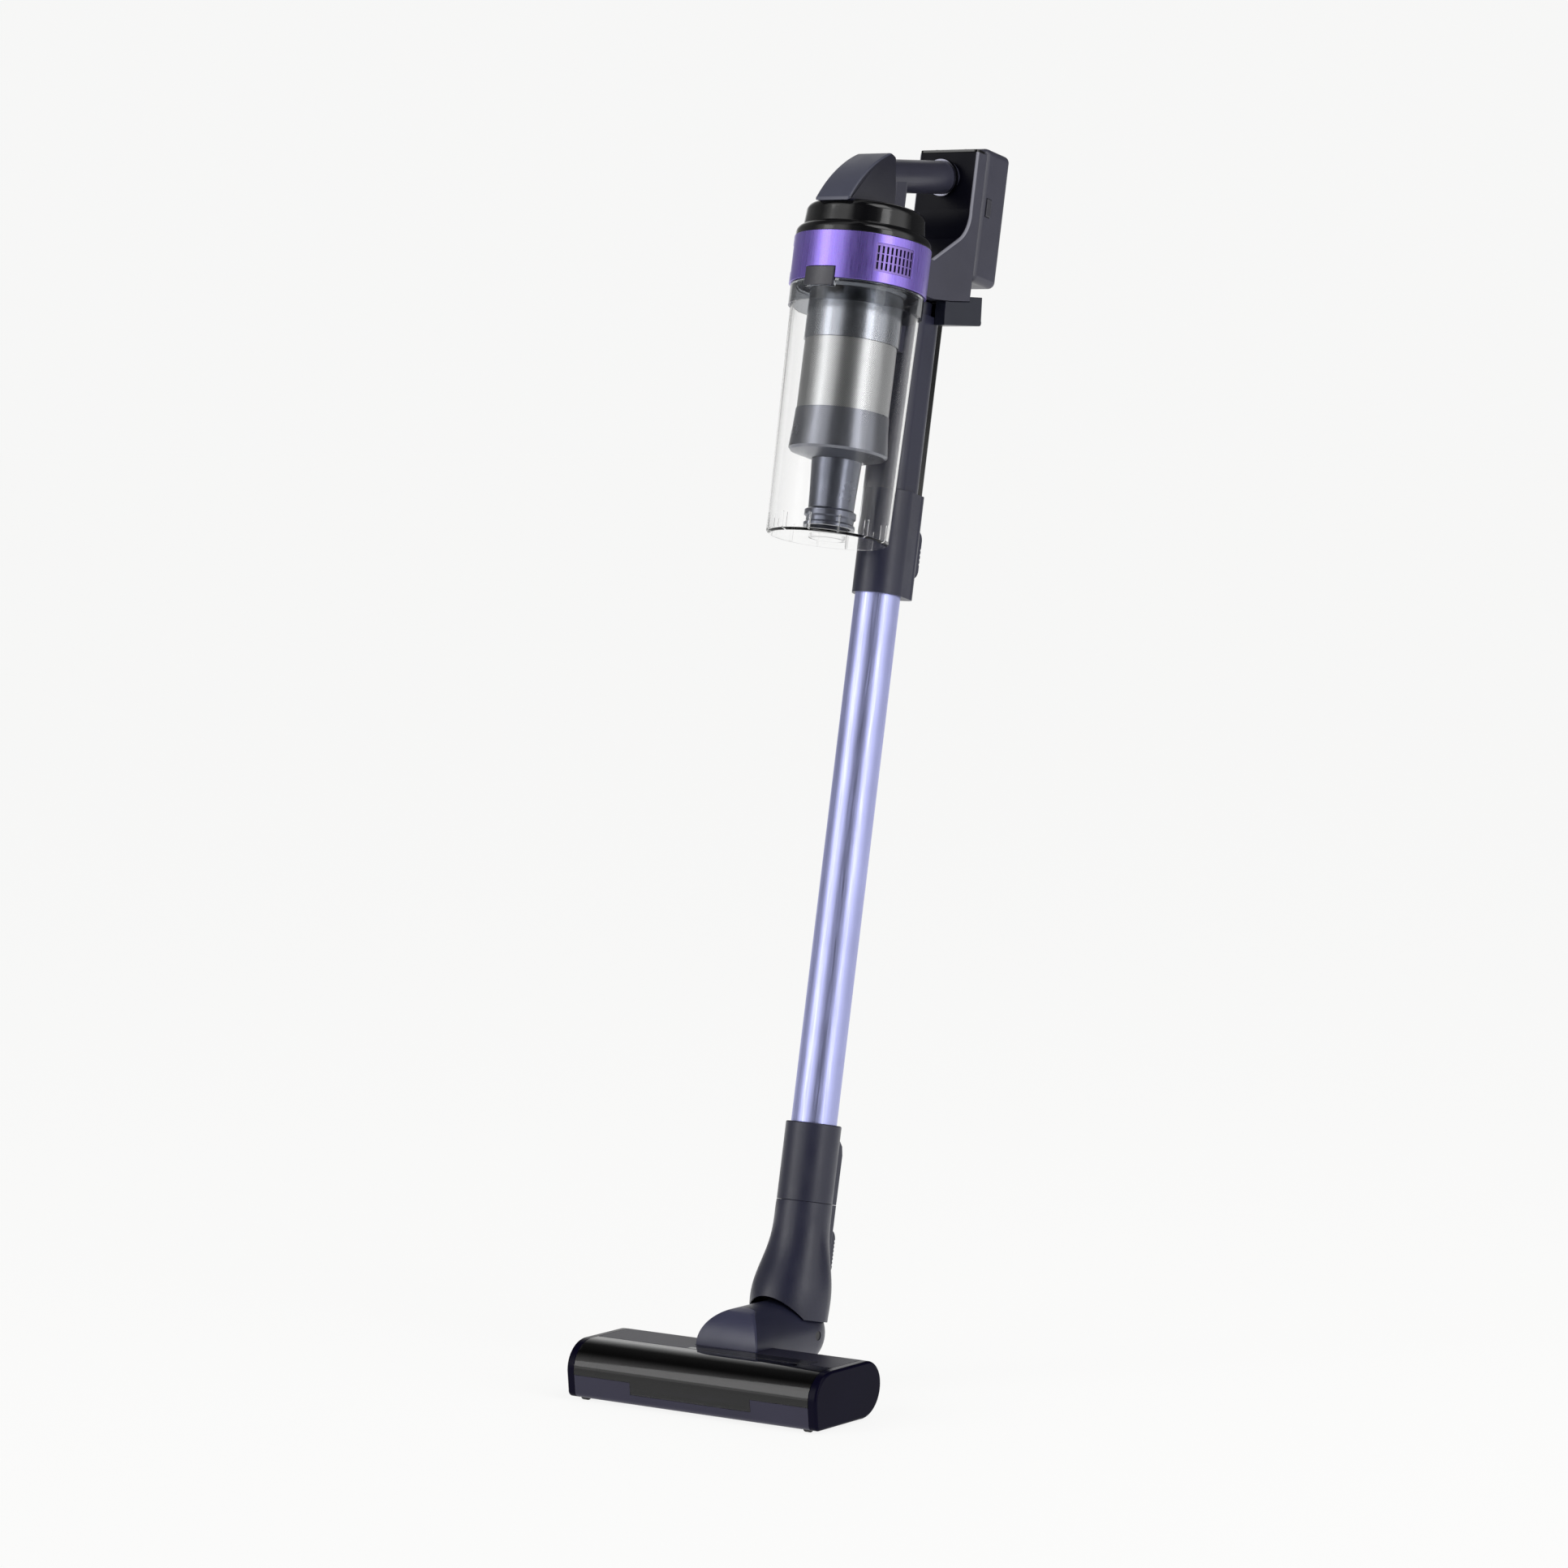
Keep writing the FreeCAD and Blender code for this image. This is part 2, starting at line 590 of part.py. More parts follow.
# ---- neck ---------------------------------------------------------------------------------------
HOOD_R = KNUCKLE_R + 0.6
NECK_BUTTON_Z = (52.0, 90.0)
PIN_R = 4.0
LUG_IN = 13.4
LUG_OUT = 17.0
NECK_WALL = 2.4
HOSE_FLOOR = 33.5
HOSE_R = 11.0


def neck_body():
    """Flared hood over the ball, a hose floor with two lugs under it, and the spigot on top."""
    levels = [(10, 33.8, 38, 27), (42, 33.8, 37.5, 27), (62, 29.5, 30, 26), (84, 25, 25, 25),
              (98, 24.2, 24.6, 24.6), (COLLAR_BOTTOM - 0.3, 24.0, 24.0, 24.0)]
    outer = Part.makeLoft([egg(*level) for level in levels], True)
    rail = prism_x(-12, 12, (0, 44), (29.5, 44), (31.5, 60), (32.5, 95), (32.5, COLLAR_BOTTOM - 0.3),
                   (0, COLLAR_BOTTOM - 0.3))
    rail = rounded(rail, 2.5, lambda m: abs(abs(m.x) - 12) < 0.1 and m.y > 28)
    spigot = rod((0, 0, 100), (0, 0, PIPE_FOOT - 1.5), SPIGOT_R)
    body = join([outer, rail, spigot])
    thin = [(z, half - NECK_WALL, front - NECK_WALL, rear - NECK_WALL)
            for z, half, front, rear in levels[:-1]]
    hollow = Part.makeLoft([egg(*level) for level in thin], True)
    floor = box(-40, 40, -50, 50, HOSE_FLOOR, HOSE_FLOOR + 3)
    pocket = box(-11.3, 11.3, 25.2, 50, NECK_BUTTON_Z[0] - GAP, NECK_BUTTON_Z[1] + GAP)
    body = body.cut(hollow.cut(floor)).cut(pocket)
    slope = math.radians(FOREMOST_LEAN)
    ball = Part.makeSphere(HOOD_R, V(0, 0, 0))
    barrel = rod((0, 0, 0), (0, -90 * math.cos(slope), -90 * math.sin(slope)), HOOD_R)
    trim = box(-50, 50, -60, 60, -30, 12)
    body = body.cut(ball).cut(barrel).cut(trim)
    lugs = []
    for side in (-1, 1):
        x0, x1 = sorted((side * LUG_IN, side * LUG_OUT))
        lugs.append(box(x0, x1, -8, 8, 0, HOSE_FLOOR + 1))
        lugs.append(rod((x0, 0, 0), (x1, 0, 0), 8))
    air = rod((0, 0, 30), (0, 0, PIPE_FOOT + 1), SPIGOT_R - 2)
    cuff = rod((0, 0, HOSE_FLOOR - 3), (0, 0, HOSE_FLOOR + 3), HOSE_R + GAP)
    upper_air = air.cut(box(-40, 40, -40, 40, 20, HOSE_FLOOR + 3))
    pins = rod((-30, 0, 0), (30, 0, 0), PIN_R + FIT)
    return join([body] + lugs).cut(upper_air).cut(cuff).cut(pins)


def neck_button():
    return rear_button(11, 27.6, 37.0, NECK_BUTTON_Z[0], NECK_BUTTON_Z[1], 61, 3.4, 7)


stick["neck"] = neck_body()
stick["neck_button"] = neck_button()


# ---- knuckle: barrel that lies in the head's cradle, with the ball that the neck turns on -------
FACE_FOOT = 52.0            # the rounded face's foremost line, behind the head's front
FACE_R = 33.5
FACE_Y = FACE_FOOT + FACE_R
FACE_Z = HINGE_Z - 1.0
FACE_BACK = 76.8            # where the face's skin ends on top of the barrel
KNUCKLE_IN = KNUCKLE_R - 2.6
BALL_Y = 143.5
DUCT_R = 14.0
SLOT_HALF = LUG_OUT + 1.2


def face_cut(setback):
    """Everything in front of and above the knuckle's rounded face."""
    r = FACE_R - setback
    back = FACE_BACK + setback
    middle = (FACE_Y - r * math.cos(math.radians(40)), FACE_Z + r * math.sin(math.radians(40)))
    end = (back, FACE_Z + math.sqrt(r ** 2 - (FACE_Y - back) ** 2))
    return prism_x(-60, 60, (FACE_Y - r, FACE_Z), middle + end, (back, HINGE_Z + 60), (-40, HINGE_Z + 60),
                   (-40, HINGE_Z - 60), (FACE_Y - r, HINGE_Z - 60))


def barrel_solid(radius, y0):
    return join([rod((0, y0, HINGE_Z), (0, BALL_Y, HINGE_Z), radius),
                 Part.makeSphere(radius, V(0, BALL_Y, HINGE_Z))])


def knuckle_shell():
    shell = barrel_solid(KNUCKLE_R, 40).cut(face_cut(3.2))
    shell = shell.cut(barrel_solid(KNUCKLE_IN, 40).cut(face_cut(6.0)))
    webs = [rod((0, y, HINGE_Z), (0, y + 4, HINGE_Z), KNUCKLE_R - 1) for y in (84, 98)]
    bosses = []
    for side in (-1, 1):
        x0, x1 = sorted((side * SLOT_HALF, side * (KNUCKLE_R - 1.5)))
        boss = rod((x0, BALL_Y, HINGE_Z), (x1, BALL_Y, HINGE_Z), 8)
        bosses.append(boss.common(barrel_solid(KNUCKLE_R - 0.5, 60)))
    shell = join([shell.cut(duct_slot())] + [w.cut(face_cut(6.0)) for w in webs] + bosses)
    shell = shell.cut(rod((0, 40, HINGE_Z), (0, 110, HINGE_Z), DUCT_R + FIT))
    shell = shell.cut(neck_slot())
    return shell.cut(rod((-60, BALL_Y, HINGE_Z), (60, BALL_Y, HINGE_Z), PIN_R))


def duct_slot():
    """Slot round the barrel's underside, which lets it roll past the duct's upright pipe."""
    span = 2 * (ROLL_LIMIT + 26)
    ring = Part.makeCylinder(60, 29, V(0, 53.5, HINGE_Z), V(0, 1, 0), span)
    middle = ring.CenterOfMass
    ring.rotate(V(0, 0, HINGE_Z), V(0, 1, 0), 180 - math.degrees(math.atan2(middle.x, middle.z - HINGE_Z)))
    return ring


def neck_slot():
    """Slot over the ball's top and back, which the neck's lugs and the hose swing through."""
    first = FOREMOST_LEAN - 23
    last = FARTHEST_LEAN + 23
    points = []
    for i in range(5):
        angle = math.radians(first + (last - first) * i / 4)
        points.append((BALL_Y + 60 * math.sin(angle), HINGE_Z + 60 * math.cos(angle)))
    return prism_x(-SLOT_HALF, SLOT_HALF, (BALL_Y, HINGE_Z), points[0], points[1] + points[2],
                   points[3] + points[4])


def knuckle_face():
    return barrel_solid(KNUCKLE_R, 40).cut(face_cut(0)).common(face_cut(3.0))


def pivot_pins():
    inner = LUG_IN - 0.6
    outer = KNUCKLE_R - 0.8
    return Part.makeCompound([rod((s * inner, BALL_Y, HINGE_Z), (s * outer, BALL_Y, HINGE_Z), PIN_R)
                              for s in (-1, 1)])


def air_hose():
    """Flexible hose from the swivel duct up into the neck."""
    lean = math.radians(LEAN)
    bend = 22.0
    turn = math.pi / 2 - lean
    reach = bend * math.tan(turn / 2)
    up = (math.sin(lean), math.cos(lean))
    start = (102.5, HINGE_Z)
    bend_in = (BALL_Y - reach, HINGE_Z)
    bend_out = (BALL_Y + reach * up[0], HINGE_Z + reach * up[1])
    end = (BALL_Y + 33 * up[0], HINGE_Z + 33 * up[1])
    centre = (BALL_Y - reach, HINGE_Z + bend)
    middle = (centre[0] + bend * math.sin(turn / 2), centre[1] - bend * math.cos(turn / 2))
    path = Part.Wire([Part.LineSegment(V(0, *start), V(0, *bend_in)).toShape(),
                      Part.Arc(V(0, *bend_in), V(0, *middle), V(0, *bend_out)).toShape(),
                      Part.LineSegment(V(0, *bend_out), V(0, *end)).toShape()])
    ring = Part.Wire([Part.makeCircle(HOSE_R, V(0, *start), V(0, 1, 0))])
    inner = Part.Wire([Part.makeCircle(HOSE_R - 1.5, V(0, *start), V(0, 1, 0))])
    return path.makePipeShell([ring], True, True).cut(path.makePipeShell([inner], True, True))


head["knuckle_shell"] = knuckle_shell()
head["knuckle_face"] = knuckle_face()
head["pivot_pins"] = pivot_pins()
head["air_hose"] = air_hose()


# ---- floor head ---------------------------------------------------------------------------------
CAP = 8.0                   # thickness of each end cap
BODY_HALF = HEAD_WIDTH / 2 - CAP - 0.2
FLOOR_GAP = 2.5             # head's underside above the floor
CRADLE_R = KNUCKLE_R + 0.6
CHAMBER_R = 22.9
STEP_HALF = 62.0            # half the width of the window's lower, middle part
WINDOW_FOOT = 22.0          # seam between window and strip, at the sides
STEP_FOOT = 11.5            # the same seam in the middle
STRIP_BACK = 7.6
CHAMBER_HALF = 107.0        # half the length of the brush chamber


def head_profile(x0, x1, inset=0.0):
    """The head's side outline: round in front and behind, flat above and below."""
    i = inset
    return prism_x(x0, x1, (25, HEAD_HEIGHT - i), (7.3 + 0.7 * i, 42.7 - 0.7 * i, i, 25), (1.6 + i, 8),
                   (3.0 + 0.7 * i, FLOOR_GAP + 1.6 + 0.7 * i, 7, FLOOR_GAP + i), (66, FLOOR_GAP + i),
                   (88.5 - 0.7 * i, 11.5 + 0.7 * i, HEAD_DEPTH - i, 31),
                   (89 - 0.7 * i, 44.2 - 0.7 * i, 75, HEAD_HEIGHT - i))


def end_cap(side):
    x0, x1 = sorted((side * (BODY_HALF + 0.2), side * HEAD_WIDTH / 2))
    cap = rounded(head_profile(x0, x1), 2.5, lambda m: abs(abs(m.x) - HEAD_WIDTH / 2) < 0.05)
    inner0, inner1 = sorted((side * BODY_HALF, side * (HEAD_WIDTH / 2 - WALL)))
    return cap.cut(head_profile(inner0, inner1, 2.6))


def front_skin():
    return head_profile(-BODY_HALF, BODY_HALF).cut(head_profile(-BODY_HALF - 1, BODY_HALF + 1, 2.0))


WINDOW_BACK = 34.0
PLATE_BACK = 86.0


def front_window():
    """Smoked window over the brush, deeper in the middle."""
    skin = front_skin()
    upper = skin.common(box(-BODY_HALF, BODY_HALF, -5, WINDOW_BACK, WINDOW_FOOT + 0.2, 60))
    lower = skin.common(box(-STEP_HALF, STEP_HALF, -5, 20, STEP_FOOT + 0.2, WINDOW_FOOT + 0.4))
    return join([upper, lower])


def front_strip():
    skin = front_skin()
    sides = skin.common(box(-BODY_HALF, BODY_HALF, -5, STRIP_BACK, -1, WINDOW_FOOT))
    middle = box(-STEP_HALF - 0.2, STEP_HALF + 0.2, -5, 9, STEP_FOOT, 30)
    wheels = [wheel_well(s * FRONT_WHEEL_X, FRONT_WHEEL_Y, FRONT_WHEEL_R, 6) for s in (-1, 1)]
    return sides.cut(middle).cut(join(wheels))


FRONT_WHEEL_X = 115.0
FRONT_WHEEL_Y = 10.0
FRONT_WHEEL_R = 4.6
REAR_WHEEL_X = 84.0
REAR_WHEEL_Y = 76.0
REAR_WHEEL_R = 8.0
REAR_WHEEL_W = 9.0
AXLE_R = 1.5


def wheel_well(x, y, r, width):
    reach = r + 1.0
    return box(x - width / 2 - 0.8, x + width / 2 + 0.8, y - reach, y + reach, -1, 2 * r + 1.0)


def wheel_pod(x, y, r, width):
    """Closed housing over a wheel, before its well is cut."""
    half = width / 2 + 3
    block = box(x - half, x + half, y - r - 3, y + r + 3, FLOOR_GAP + 0.5, 2 * r + 3)
    return block.common(head_profile(-BODY_HALF, BODY_HALF, 1.0))


def wheel(x, y, r, width):
    tyre = rod((x - width / 2, y, r), (x + width / 2, y, r), r)
    tyre = rounded(tyre, 0.8, lambda m: abs(abs(m.x - x) - width / 2) < 0.05)
    return tyre.cut(rod((x - width, y, r), (x + width, y, r), AXLE_R + FIT))


def wheel_axles():
    axles = []
    for side in (-1, 1):
        x0, x1 = sorted((side * (FRONT_WHEEL_X - 4), side * (BODY_HALF - 0.4)))
        axles.append(rod((x0, FRONT_WHEEL_Y, FRONT_WHEEL_R), (x1, FRONT_WHEEL_Y, FRONT_WHEEL_R), AXLE_R))
        x = side * REAR_WHEEL_X
        reach = REAR_WHEEL_W / 2 + 2.4
        axles.append(rod((x - reach, REAR_WHEEL_Y, REAR_WHEEL_R),
                         (x + reach, REAR_WHEEL_Y, REAR_WHEEL_R), AXLE_R))
    return Part.makeCompound(axles)


SCREW_PLACES = [(-103, 60), (-45, 60), (45, 60), (103, 60)]
SCREW_SEAT = FLOOR_GAP + 3


def head_screws():
    screws = []
    for x, y in SCREW_PLACES:
        screw = join([rod((x, y, SCREW_SEAT - 2), (x, y, SCREW_SEAT), 2.9),
                      rod((x, y, SCREW_SEAT), (x, y, 12.5), 1.5)])
        screws.append(screw.cut(box(x - 0.4, x + 0.4, y - 2, y + 2, SCREW_SEAT - 2.1, SCREW_SEAT - 1)))
    return Part.makeCompound(screws)


# ---- brush roller, its motor and belt -----------------------------------------------------------
BRUSH_HALF = 105.0
JOURNAL_R = 4.0
BRUSH_PULLEY_R = 9.0
MOTOR_PULLEY_R = 5.0
BELT_X = -110.0
BELT_W = 4.0
MOTOR_AT = (66.0, 31.0)     # Y and Z of the brush motor's axis
BRUSH_AT = (BRUSH_Y, BRUSH_Z)


def along_x(x0, x1, at, radius):
    return rod((x0, at[0], at[1]), (x1, at[0], at[1]), radius)


def brush_core():
    pulley = along_x(BELT_X - 2.5, BELT_X + 2.5, BRUSH_AT, BRUSH_PULLEY_R)
    flange = along_x(BELT_X + 2.5, BELT_X + 4, BRUSH_AT, BRUSH_PULLEY_R + 2.5)
    return join([along_x(-BRUSH_HALF, BRUSH_HALF, BRUSH_AT, 12), pulley, flange,
                 along_x(-BODY_HALF + 0.4, BODY_HALF - 0.4, BRUSH_AT, JOURNAL_R)])


def brush_bristles():
    """Four rows of bristles that wind round the core in opposite hands from the middle."""
    steps = 14
    length = BRUSH_HALF / steps
    rows = []
    for row in range(4):
        for side in (-1, 1):
            for i in range(steps):
                strip = box(0, length, 12.0, BRISTLE_R, -2.2, 2.2)
                strip.translate(V(i * length if side > 0 else -(i + 1) * length, 0, 0))
                strip.rotate(V(0, 0, 0), V(1, 0, 0), 90 * row + 6 * i)
                rows.append(strip)
    whole = join(rows)
    whole = whole.common(along_x(-BRUSH_HALF, BRUSH_HALF, (0, 0), BRISTLE_R)).cut(
        along_x(-BRUSH_HALF, BRUSH_HALF, (0, 0), 12))
    whole.translate(V(0, BRUSH_Y, BRUSH_Z))
    return whole


def brush_bearings():
    bushes = [along_x(x, x + 3, BRUSH_AT, 5).cut(along_x(x, x + 3, BRUSH_AT, JOURNAL_R + FIT))
              for x in (-BODY_HALF, BODY_HALF - 3)]
    return Part.makeCompound(bushes)


def brush_motor():
    can = along_x(-97, -50, MOTOR_AT, 11)
    nose = along_x(-99, -97, MOTOR_AT, 6)
    return join([can, nose]).cut(along_x(-100, -80, MOTOR_AT, 2 + FIT))


def motor_pulley():
    return join([along_x(BELT_X - 2.5, BELT_X + 2.5, MOTOR_AT, MOTOR_PULLEY_R),
                 along_x(BELT_X + 2.5, BELT_X + 4, MOTOR_AT, MOTOR_PULLEY_R + 2),
                 along_x(BELT_X - 2.5, -82, MOTOR_AT, 2)])


def belt_loop(grow):
    """Solid outline round both pulleys, larger than them by grow."""
    r1 = BRUSH_PULLEY_R + grow
    r2 = MOTOR_PULLEY_R + grow
    dy = MOTOR_AT[0] - BRUSH_AT[0]
    dz = MOTOR_AT[1] - BRUSH_AT[1]
    reach = math.hypot(dy, dz)
    u = (dy / reach, dz / reach)
    c = (r1 - r2) / reach
    k = math.sqrt(1 - c * c)

    def touch(centre, r, side):
        return (centre[0] + r * (c * u[0] - side * k * u[1]), centre[1] + r * (c * u[1] + side * k * u[0]))

    far = (MOTOR_AT[0] + r2 * u[0], MOTOR_AT[1] + r2 * u[1])
    near = (BRUSH_AT[0] - r1 * u[0], BRUSH_AT[1] - r1 * u[1])
    return prism_x(BELT_X - BELT_W / 2, BELT_X + BELT_W / 2, touch(BRUSH_AT, r1, 1), touch(MOTOR_AT, r2, 1),
                   far + touch(MOTOR_AT, r2, -1), touch(BRUSH_AT, r1, -1), near + touch(BRUSH_AT, r1, 1))


def drive_belt():
    return belt_loop(1.5).cut(belt_loop(0.1))


def top_plate():
    """Top cover behind the window, with the cradle's opening for the knuckle."""
    skin = head_profile(-BODY_HALF, BODY_HALF).cut(head_profile(-BODY_HALF - 1, BODY_HALF + 1, 2.4))
    plate = skin.common(box(-BODY_HALF, BODY_HALF, WINDOW_BACK + 1.2, PLATE_BACK, 36, 60))
    return plate.cut(cradle_space())


def cradle_space():
    return rod((0, FACE_FOOT - 0.6, HINGE_Z), (0, 140, HINGE_Z), CRADLE_R)


def head_base():
    """Chassis: back, floor, brush tunnel, cradle and bulkheads."""
    outer = head_profile(-BODY_HALF, BODY_HALF)
    hollow = head_profile(-BODY_HALF + 3, BODY_HALF - 3, WALL)
    tunnel = rod((-BODY_HALF, BRUSH_Y, BRUSH_Z + 1), (BODY_HALF, BRUSH_Y, BRUSH_Z + 1), CHAMBER_R + 2)
    cradle = rod((0, FACE_FOOT - 3, HINGE_Z), (0, HEAD_DEPTH, HINGE_Z), CRADLE_R + 2.2)
    walls = join([tunnel, cradle]).common(head_profile(-BODY_HALF, BODY_HALF, 1.0))
    pods = [wheel_pod(s * REAR_WHEEL_X, REAR_WHEEL_Y, REAR_WHEEL_R, REAR_WHEEL_W) for s in (-1, 1)]
    bosses = [rod((x, y, FLOOR_GAP + 0.5), (x, y, 15), 4.5) for x, y in SCREW_PLACES]
    saddles = [box(x, x + 3, MOTOR_AT[0] - 8, MOTOR_AT[0] + 8, FLOOR_GAP + 0.5, MOTOR_AT[1] - 2)
               for x in (-96, -60)]
    shell = join([outer.cut(hollow), walls] + pods + bosses + saddles).cut(along_x(-97, -50, MOTOR_AT, 11))
    brush_space = along_x(-CHAMBER_HALF, CHAMBER_HALF, (BRUSH_Y, BRUSH_Z + 1), CHAMBER_R)
    pulley_space = along_x(-BODY_HALF + 3, BODY_HALF - 3, BRUSH_AT, 13)
    mouth = box(-CHAMBER_HALF, CHAMBER_HALF, 3, 44, -5, 12)
    front = join([box(-BODY_HALF - 1, BODY_HALF + 1, -5, WINDOW_BACK + 0.4, WINDOW_FOOT - 0.2, 60),
                  box(-BODY_HALF - 1, BODY_HALF + 1, -5, STRIP_BACK + 0.3, -1, WINDOW_FOOT)])
    front = front.common(head_profile(-BODY_HALF - 2, BODY_HALF + 2).cut(
        head_profile(-BODY_HALF - 2, BODY_HALF + 2, 2.1)))
    top = box(-BODY_HALF - 1, BODY_HALF + 1, WINDOW_BACK, PLATE_BACK + 0.3, 36, 60).common(
        head_profile(-BODY_HALF - 2, BODY_HALF + 2).cut(head_profile(-BODY_HALF - 2, BODY_HALF + 2, 2.5)))
    open_front = box(-CHAMBER_HALF, CHAMBER_HALF, -5, BRUSH_Y, 7, 60)
    shell = shell.cut(brush_space).cut(pulley_space).cut(mouth).cut(front).cut(top).cut(cradle_space())
    shell = shell.cut(open_front.common(along_x(-130, 130, BRUSH_AT, 30)))
    wells = [wheel_well(s * FRONT_WHEEL_X, FRONT_WHEEL_Y, FRONT_WHEEL_R, 6) for s in (-1, 1)]
    wells += [wheel_well(s * REAR_WHEEL_X, REAR_WHEEL_Y, REAR_WHEEL_R, REAR_WHEEL_W) for s in (-1, 1)]
    shell = shell.cut(Part.makeCompound(wells))
    intake = rod((0, DUCT_Y, 10), (0, DUCT_Y, 40), DUCT_PIPE_R)
    axle_holes = rod((-BODY_HALF - 1, BRUSH_Y, BRUSH_Z), (BODY_HALF + 1, BRUSH_Y, BRUSH_Z), 5)
    passage = box(-15, 15, 42, 62, 6, 12)
    belt_slot = box(BELT_X - 3, BELT_X + 3, 30, 62, 13, 42)
    shell = shell.cut(join([intake, passage])).cut(belt_slot).cut(axle_holes)
    shell = shell.cut(wheel_axles())
    for x, y in SCREW_PLACES:
        shell = shell.cut(rod((x, y, FLOOR_GAP - 1), (x, y, SCREW_SEAT), 3.2))
        shell = shell.cut(rod((x, y, FLOOR_GAP), (x, y, 13), 1.5))
    return shell


DUCT_Y = 69.0
DUCT_PIPE_R = 9.5


def clear_of_face(shape, setback):
    """What stays behind the knuckle's face at every roll."""
    for roll in range(-int(ROLL_LIMIT), int(ROLL_LIMIT) + 1, 10):
        blade = face_cut(setback)
        blade.rotate(V(0, 0, HINGE_Z), V(0, 1, 0), roll)
        shape = shape.cut(blade)
    return shape


def swivel_duct():
    """Fixed air duct: up from the head, then back along the roll axis. The knuckle rolls round it."""
    outer = join([rod((0, DUCT_Y, 15.5), (0, DUCT_Y, HINGE_Z), DUCT_PIPE_R),
                  rod((0, 57.5, HINGE_Z), (0, 102, HINGE_Z), DUCT_R)])
    bore = join([rod((0, DUCT_Y, 10), (0, DUCT_Y, HINGE_Z), DUCT_PIPE_R - 2),
                 rod((0, 62, HINGE_Z), (0, 110, HINGE_Z), DUCT_R - 2)])
    return clear_of_face(outer, 7.5).cut(clear_of_face(bore, 10.5))


head["head_base"] = head_base()
head["top_plate"] = top_plate()
head["front_window"] = front_window()
head["front_strip"] = front_strip()
head["end_caps"] = Part.makeCompound([end_cap(-1), end_cap(1)])
head["swivel_duct"] = swivel_duct()
head["wheel_axles"] = wheel_axles()
head["head_screws"] = head_screws()
head["brush_core"] = brush_core()
head["brush_bristles"] = brush_bristles()
head["brush_bearings"] = brush_bearings()
head["brush_motor"] = brush_motor()
head["motor_pulley"] = motor_pulley()
head["drive_belt"] = drive_belt()
for side, hand in ((-1, "left"), (1, "right")):
    head["front_wheel_" + hand] = wheel(side * FRONT_WHEEL_X, FRONT_WHEEL_Y, FRONT_WHEEL_R, 6)
    head["rear_wheel_" + hand] = wheel(side * REAR_WHEEL_X, REAR_WHEEL_Y, REAR_WHEEL_R, REAR_WHEEL_W)


for parts, place in ((stick, on_stick), (head, on_head)):
    for name in parts:
        parts[name] = place(parts[name])

os.makedirs("parts", exist_ok=True)
for name, shape in {**stick, **head}.items():
    solids = shape.Solids
    print("%-18s solids %d valid %s volume %.0f" % (name, len(solids), shape.isValid(), shape.Volume))
    shape.exportStep("parts/%s.step" % name)
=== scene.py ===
"""Looks of the cordless stick vacuum: materials, brush tufts, hose, soft edges, studio and camera."""
import bpy
import bmesh
import json
import math
import random
from mathutils import Matrix, Vector

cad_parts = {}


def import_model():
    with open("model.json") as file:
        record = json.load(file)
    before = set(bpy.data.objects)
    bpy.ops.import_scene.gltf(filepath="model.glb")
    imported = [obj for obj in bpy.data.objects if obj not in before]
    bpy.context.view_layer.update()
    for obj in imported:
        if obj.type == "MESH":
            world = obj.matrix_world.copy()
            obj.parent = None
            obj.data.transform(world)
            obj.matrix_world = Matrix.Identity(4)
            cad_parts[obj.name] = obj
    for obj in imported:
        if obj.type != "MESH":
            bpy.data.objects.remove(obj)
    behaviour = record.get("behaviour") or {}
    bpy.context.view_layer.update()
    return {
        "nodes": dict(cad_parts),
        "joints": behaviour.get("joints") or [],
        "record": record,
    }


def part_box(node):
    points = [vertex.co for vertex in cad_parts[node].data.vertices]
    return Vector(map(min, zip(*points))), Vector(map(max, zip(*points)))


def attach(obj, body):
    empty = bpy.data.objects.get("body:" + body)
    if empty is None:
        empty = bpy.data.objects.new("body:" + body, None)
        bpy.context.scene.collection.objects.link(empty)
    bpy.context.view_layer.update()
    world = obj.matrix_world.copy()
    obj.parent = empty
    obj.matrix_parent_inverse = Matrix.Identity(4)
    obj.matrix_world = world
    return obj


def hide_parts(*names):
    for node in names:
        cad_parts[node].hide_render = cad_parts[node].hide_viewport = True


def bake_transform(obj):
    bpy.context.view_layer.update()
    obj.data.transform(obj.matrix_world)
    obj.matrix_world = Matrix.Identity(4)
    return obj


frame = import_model()
MM = 0.001
NODES = frame["nodes"]
JOINTS = {joint["name"]: joint for joint in frame["joints"]}

# ---- the stick's own frame: hinge at its origin, pipe along Z --------------------------------------
HINGE = Vector(JOINTS["neck_pitch"]["pos_m"])
ACROSS = Vector((1, 0, 0))
UP = -Vector(JOINTS["bin_slide"]["axis"]).normalized()
REAR = UP.cross(ACROSS)
LEAN = math.atan2(UP.y, UP.z)
STICK = Matrix((ACROSS, REAR, UP)).transposed().to_4x4()
STICK.translation = HINGE
HEAD_LOW, HEAD_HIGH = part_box("end_caps")
BRUSH_AT = Vector(JOINTS["brush_spin"]["pos_m"])
BIN_AXIS = STICK.inverted() @ Vector(JOINTS["rotor_spin"]["pos_m"])
rng = random.Random(7)


def srgb(*values):
    """Linear colour of 0 to 255 display values."""
    shares = [value / 255 for value in values]
    linear = [((v + 0.055) / 1.055) ** 2.4 if v > 0.04045 else v / 12.92 for v in shares]
    return tuple(linear) + (1.0,)


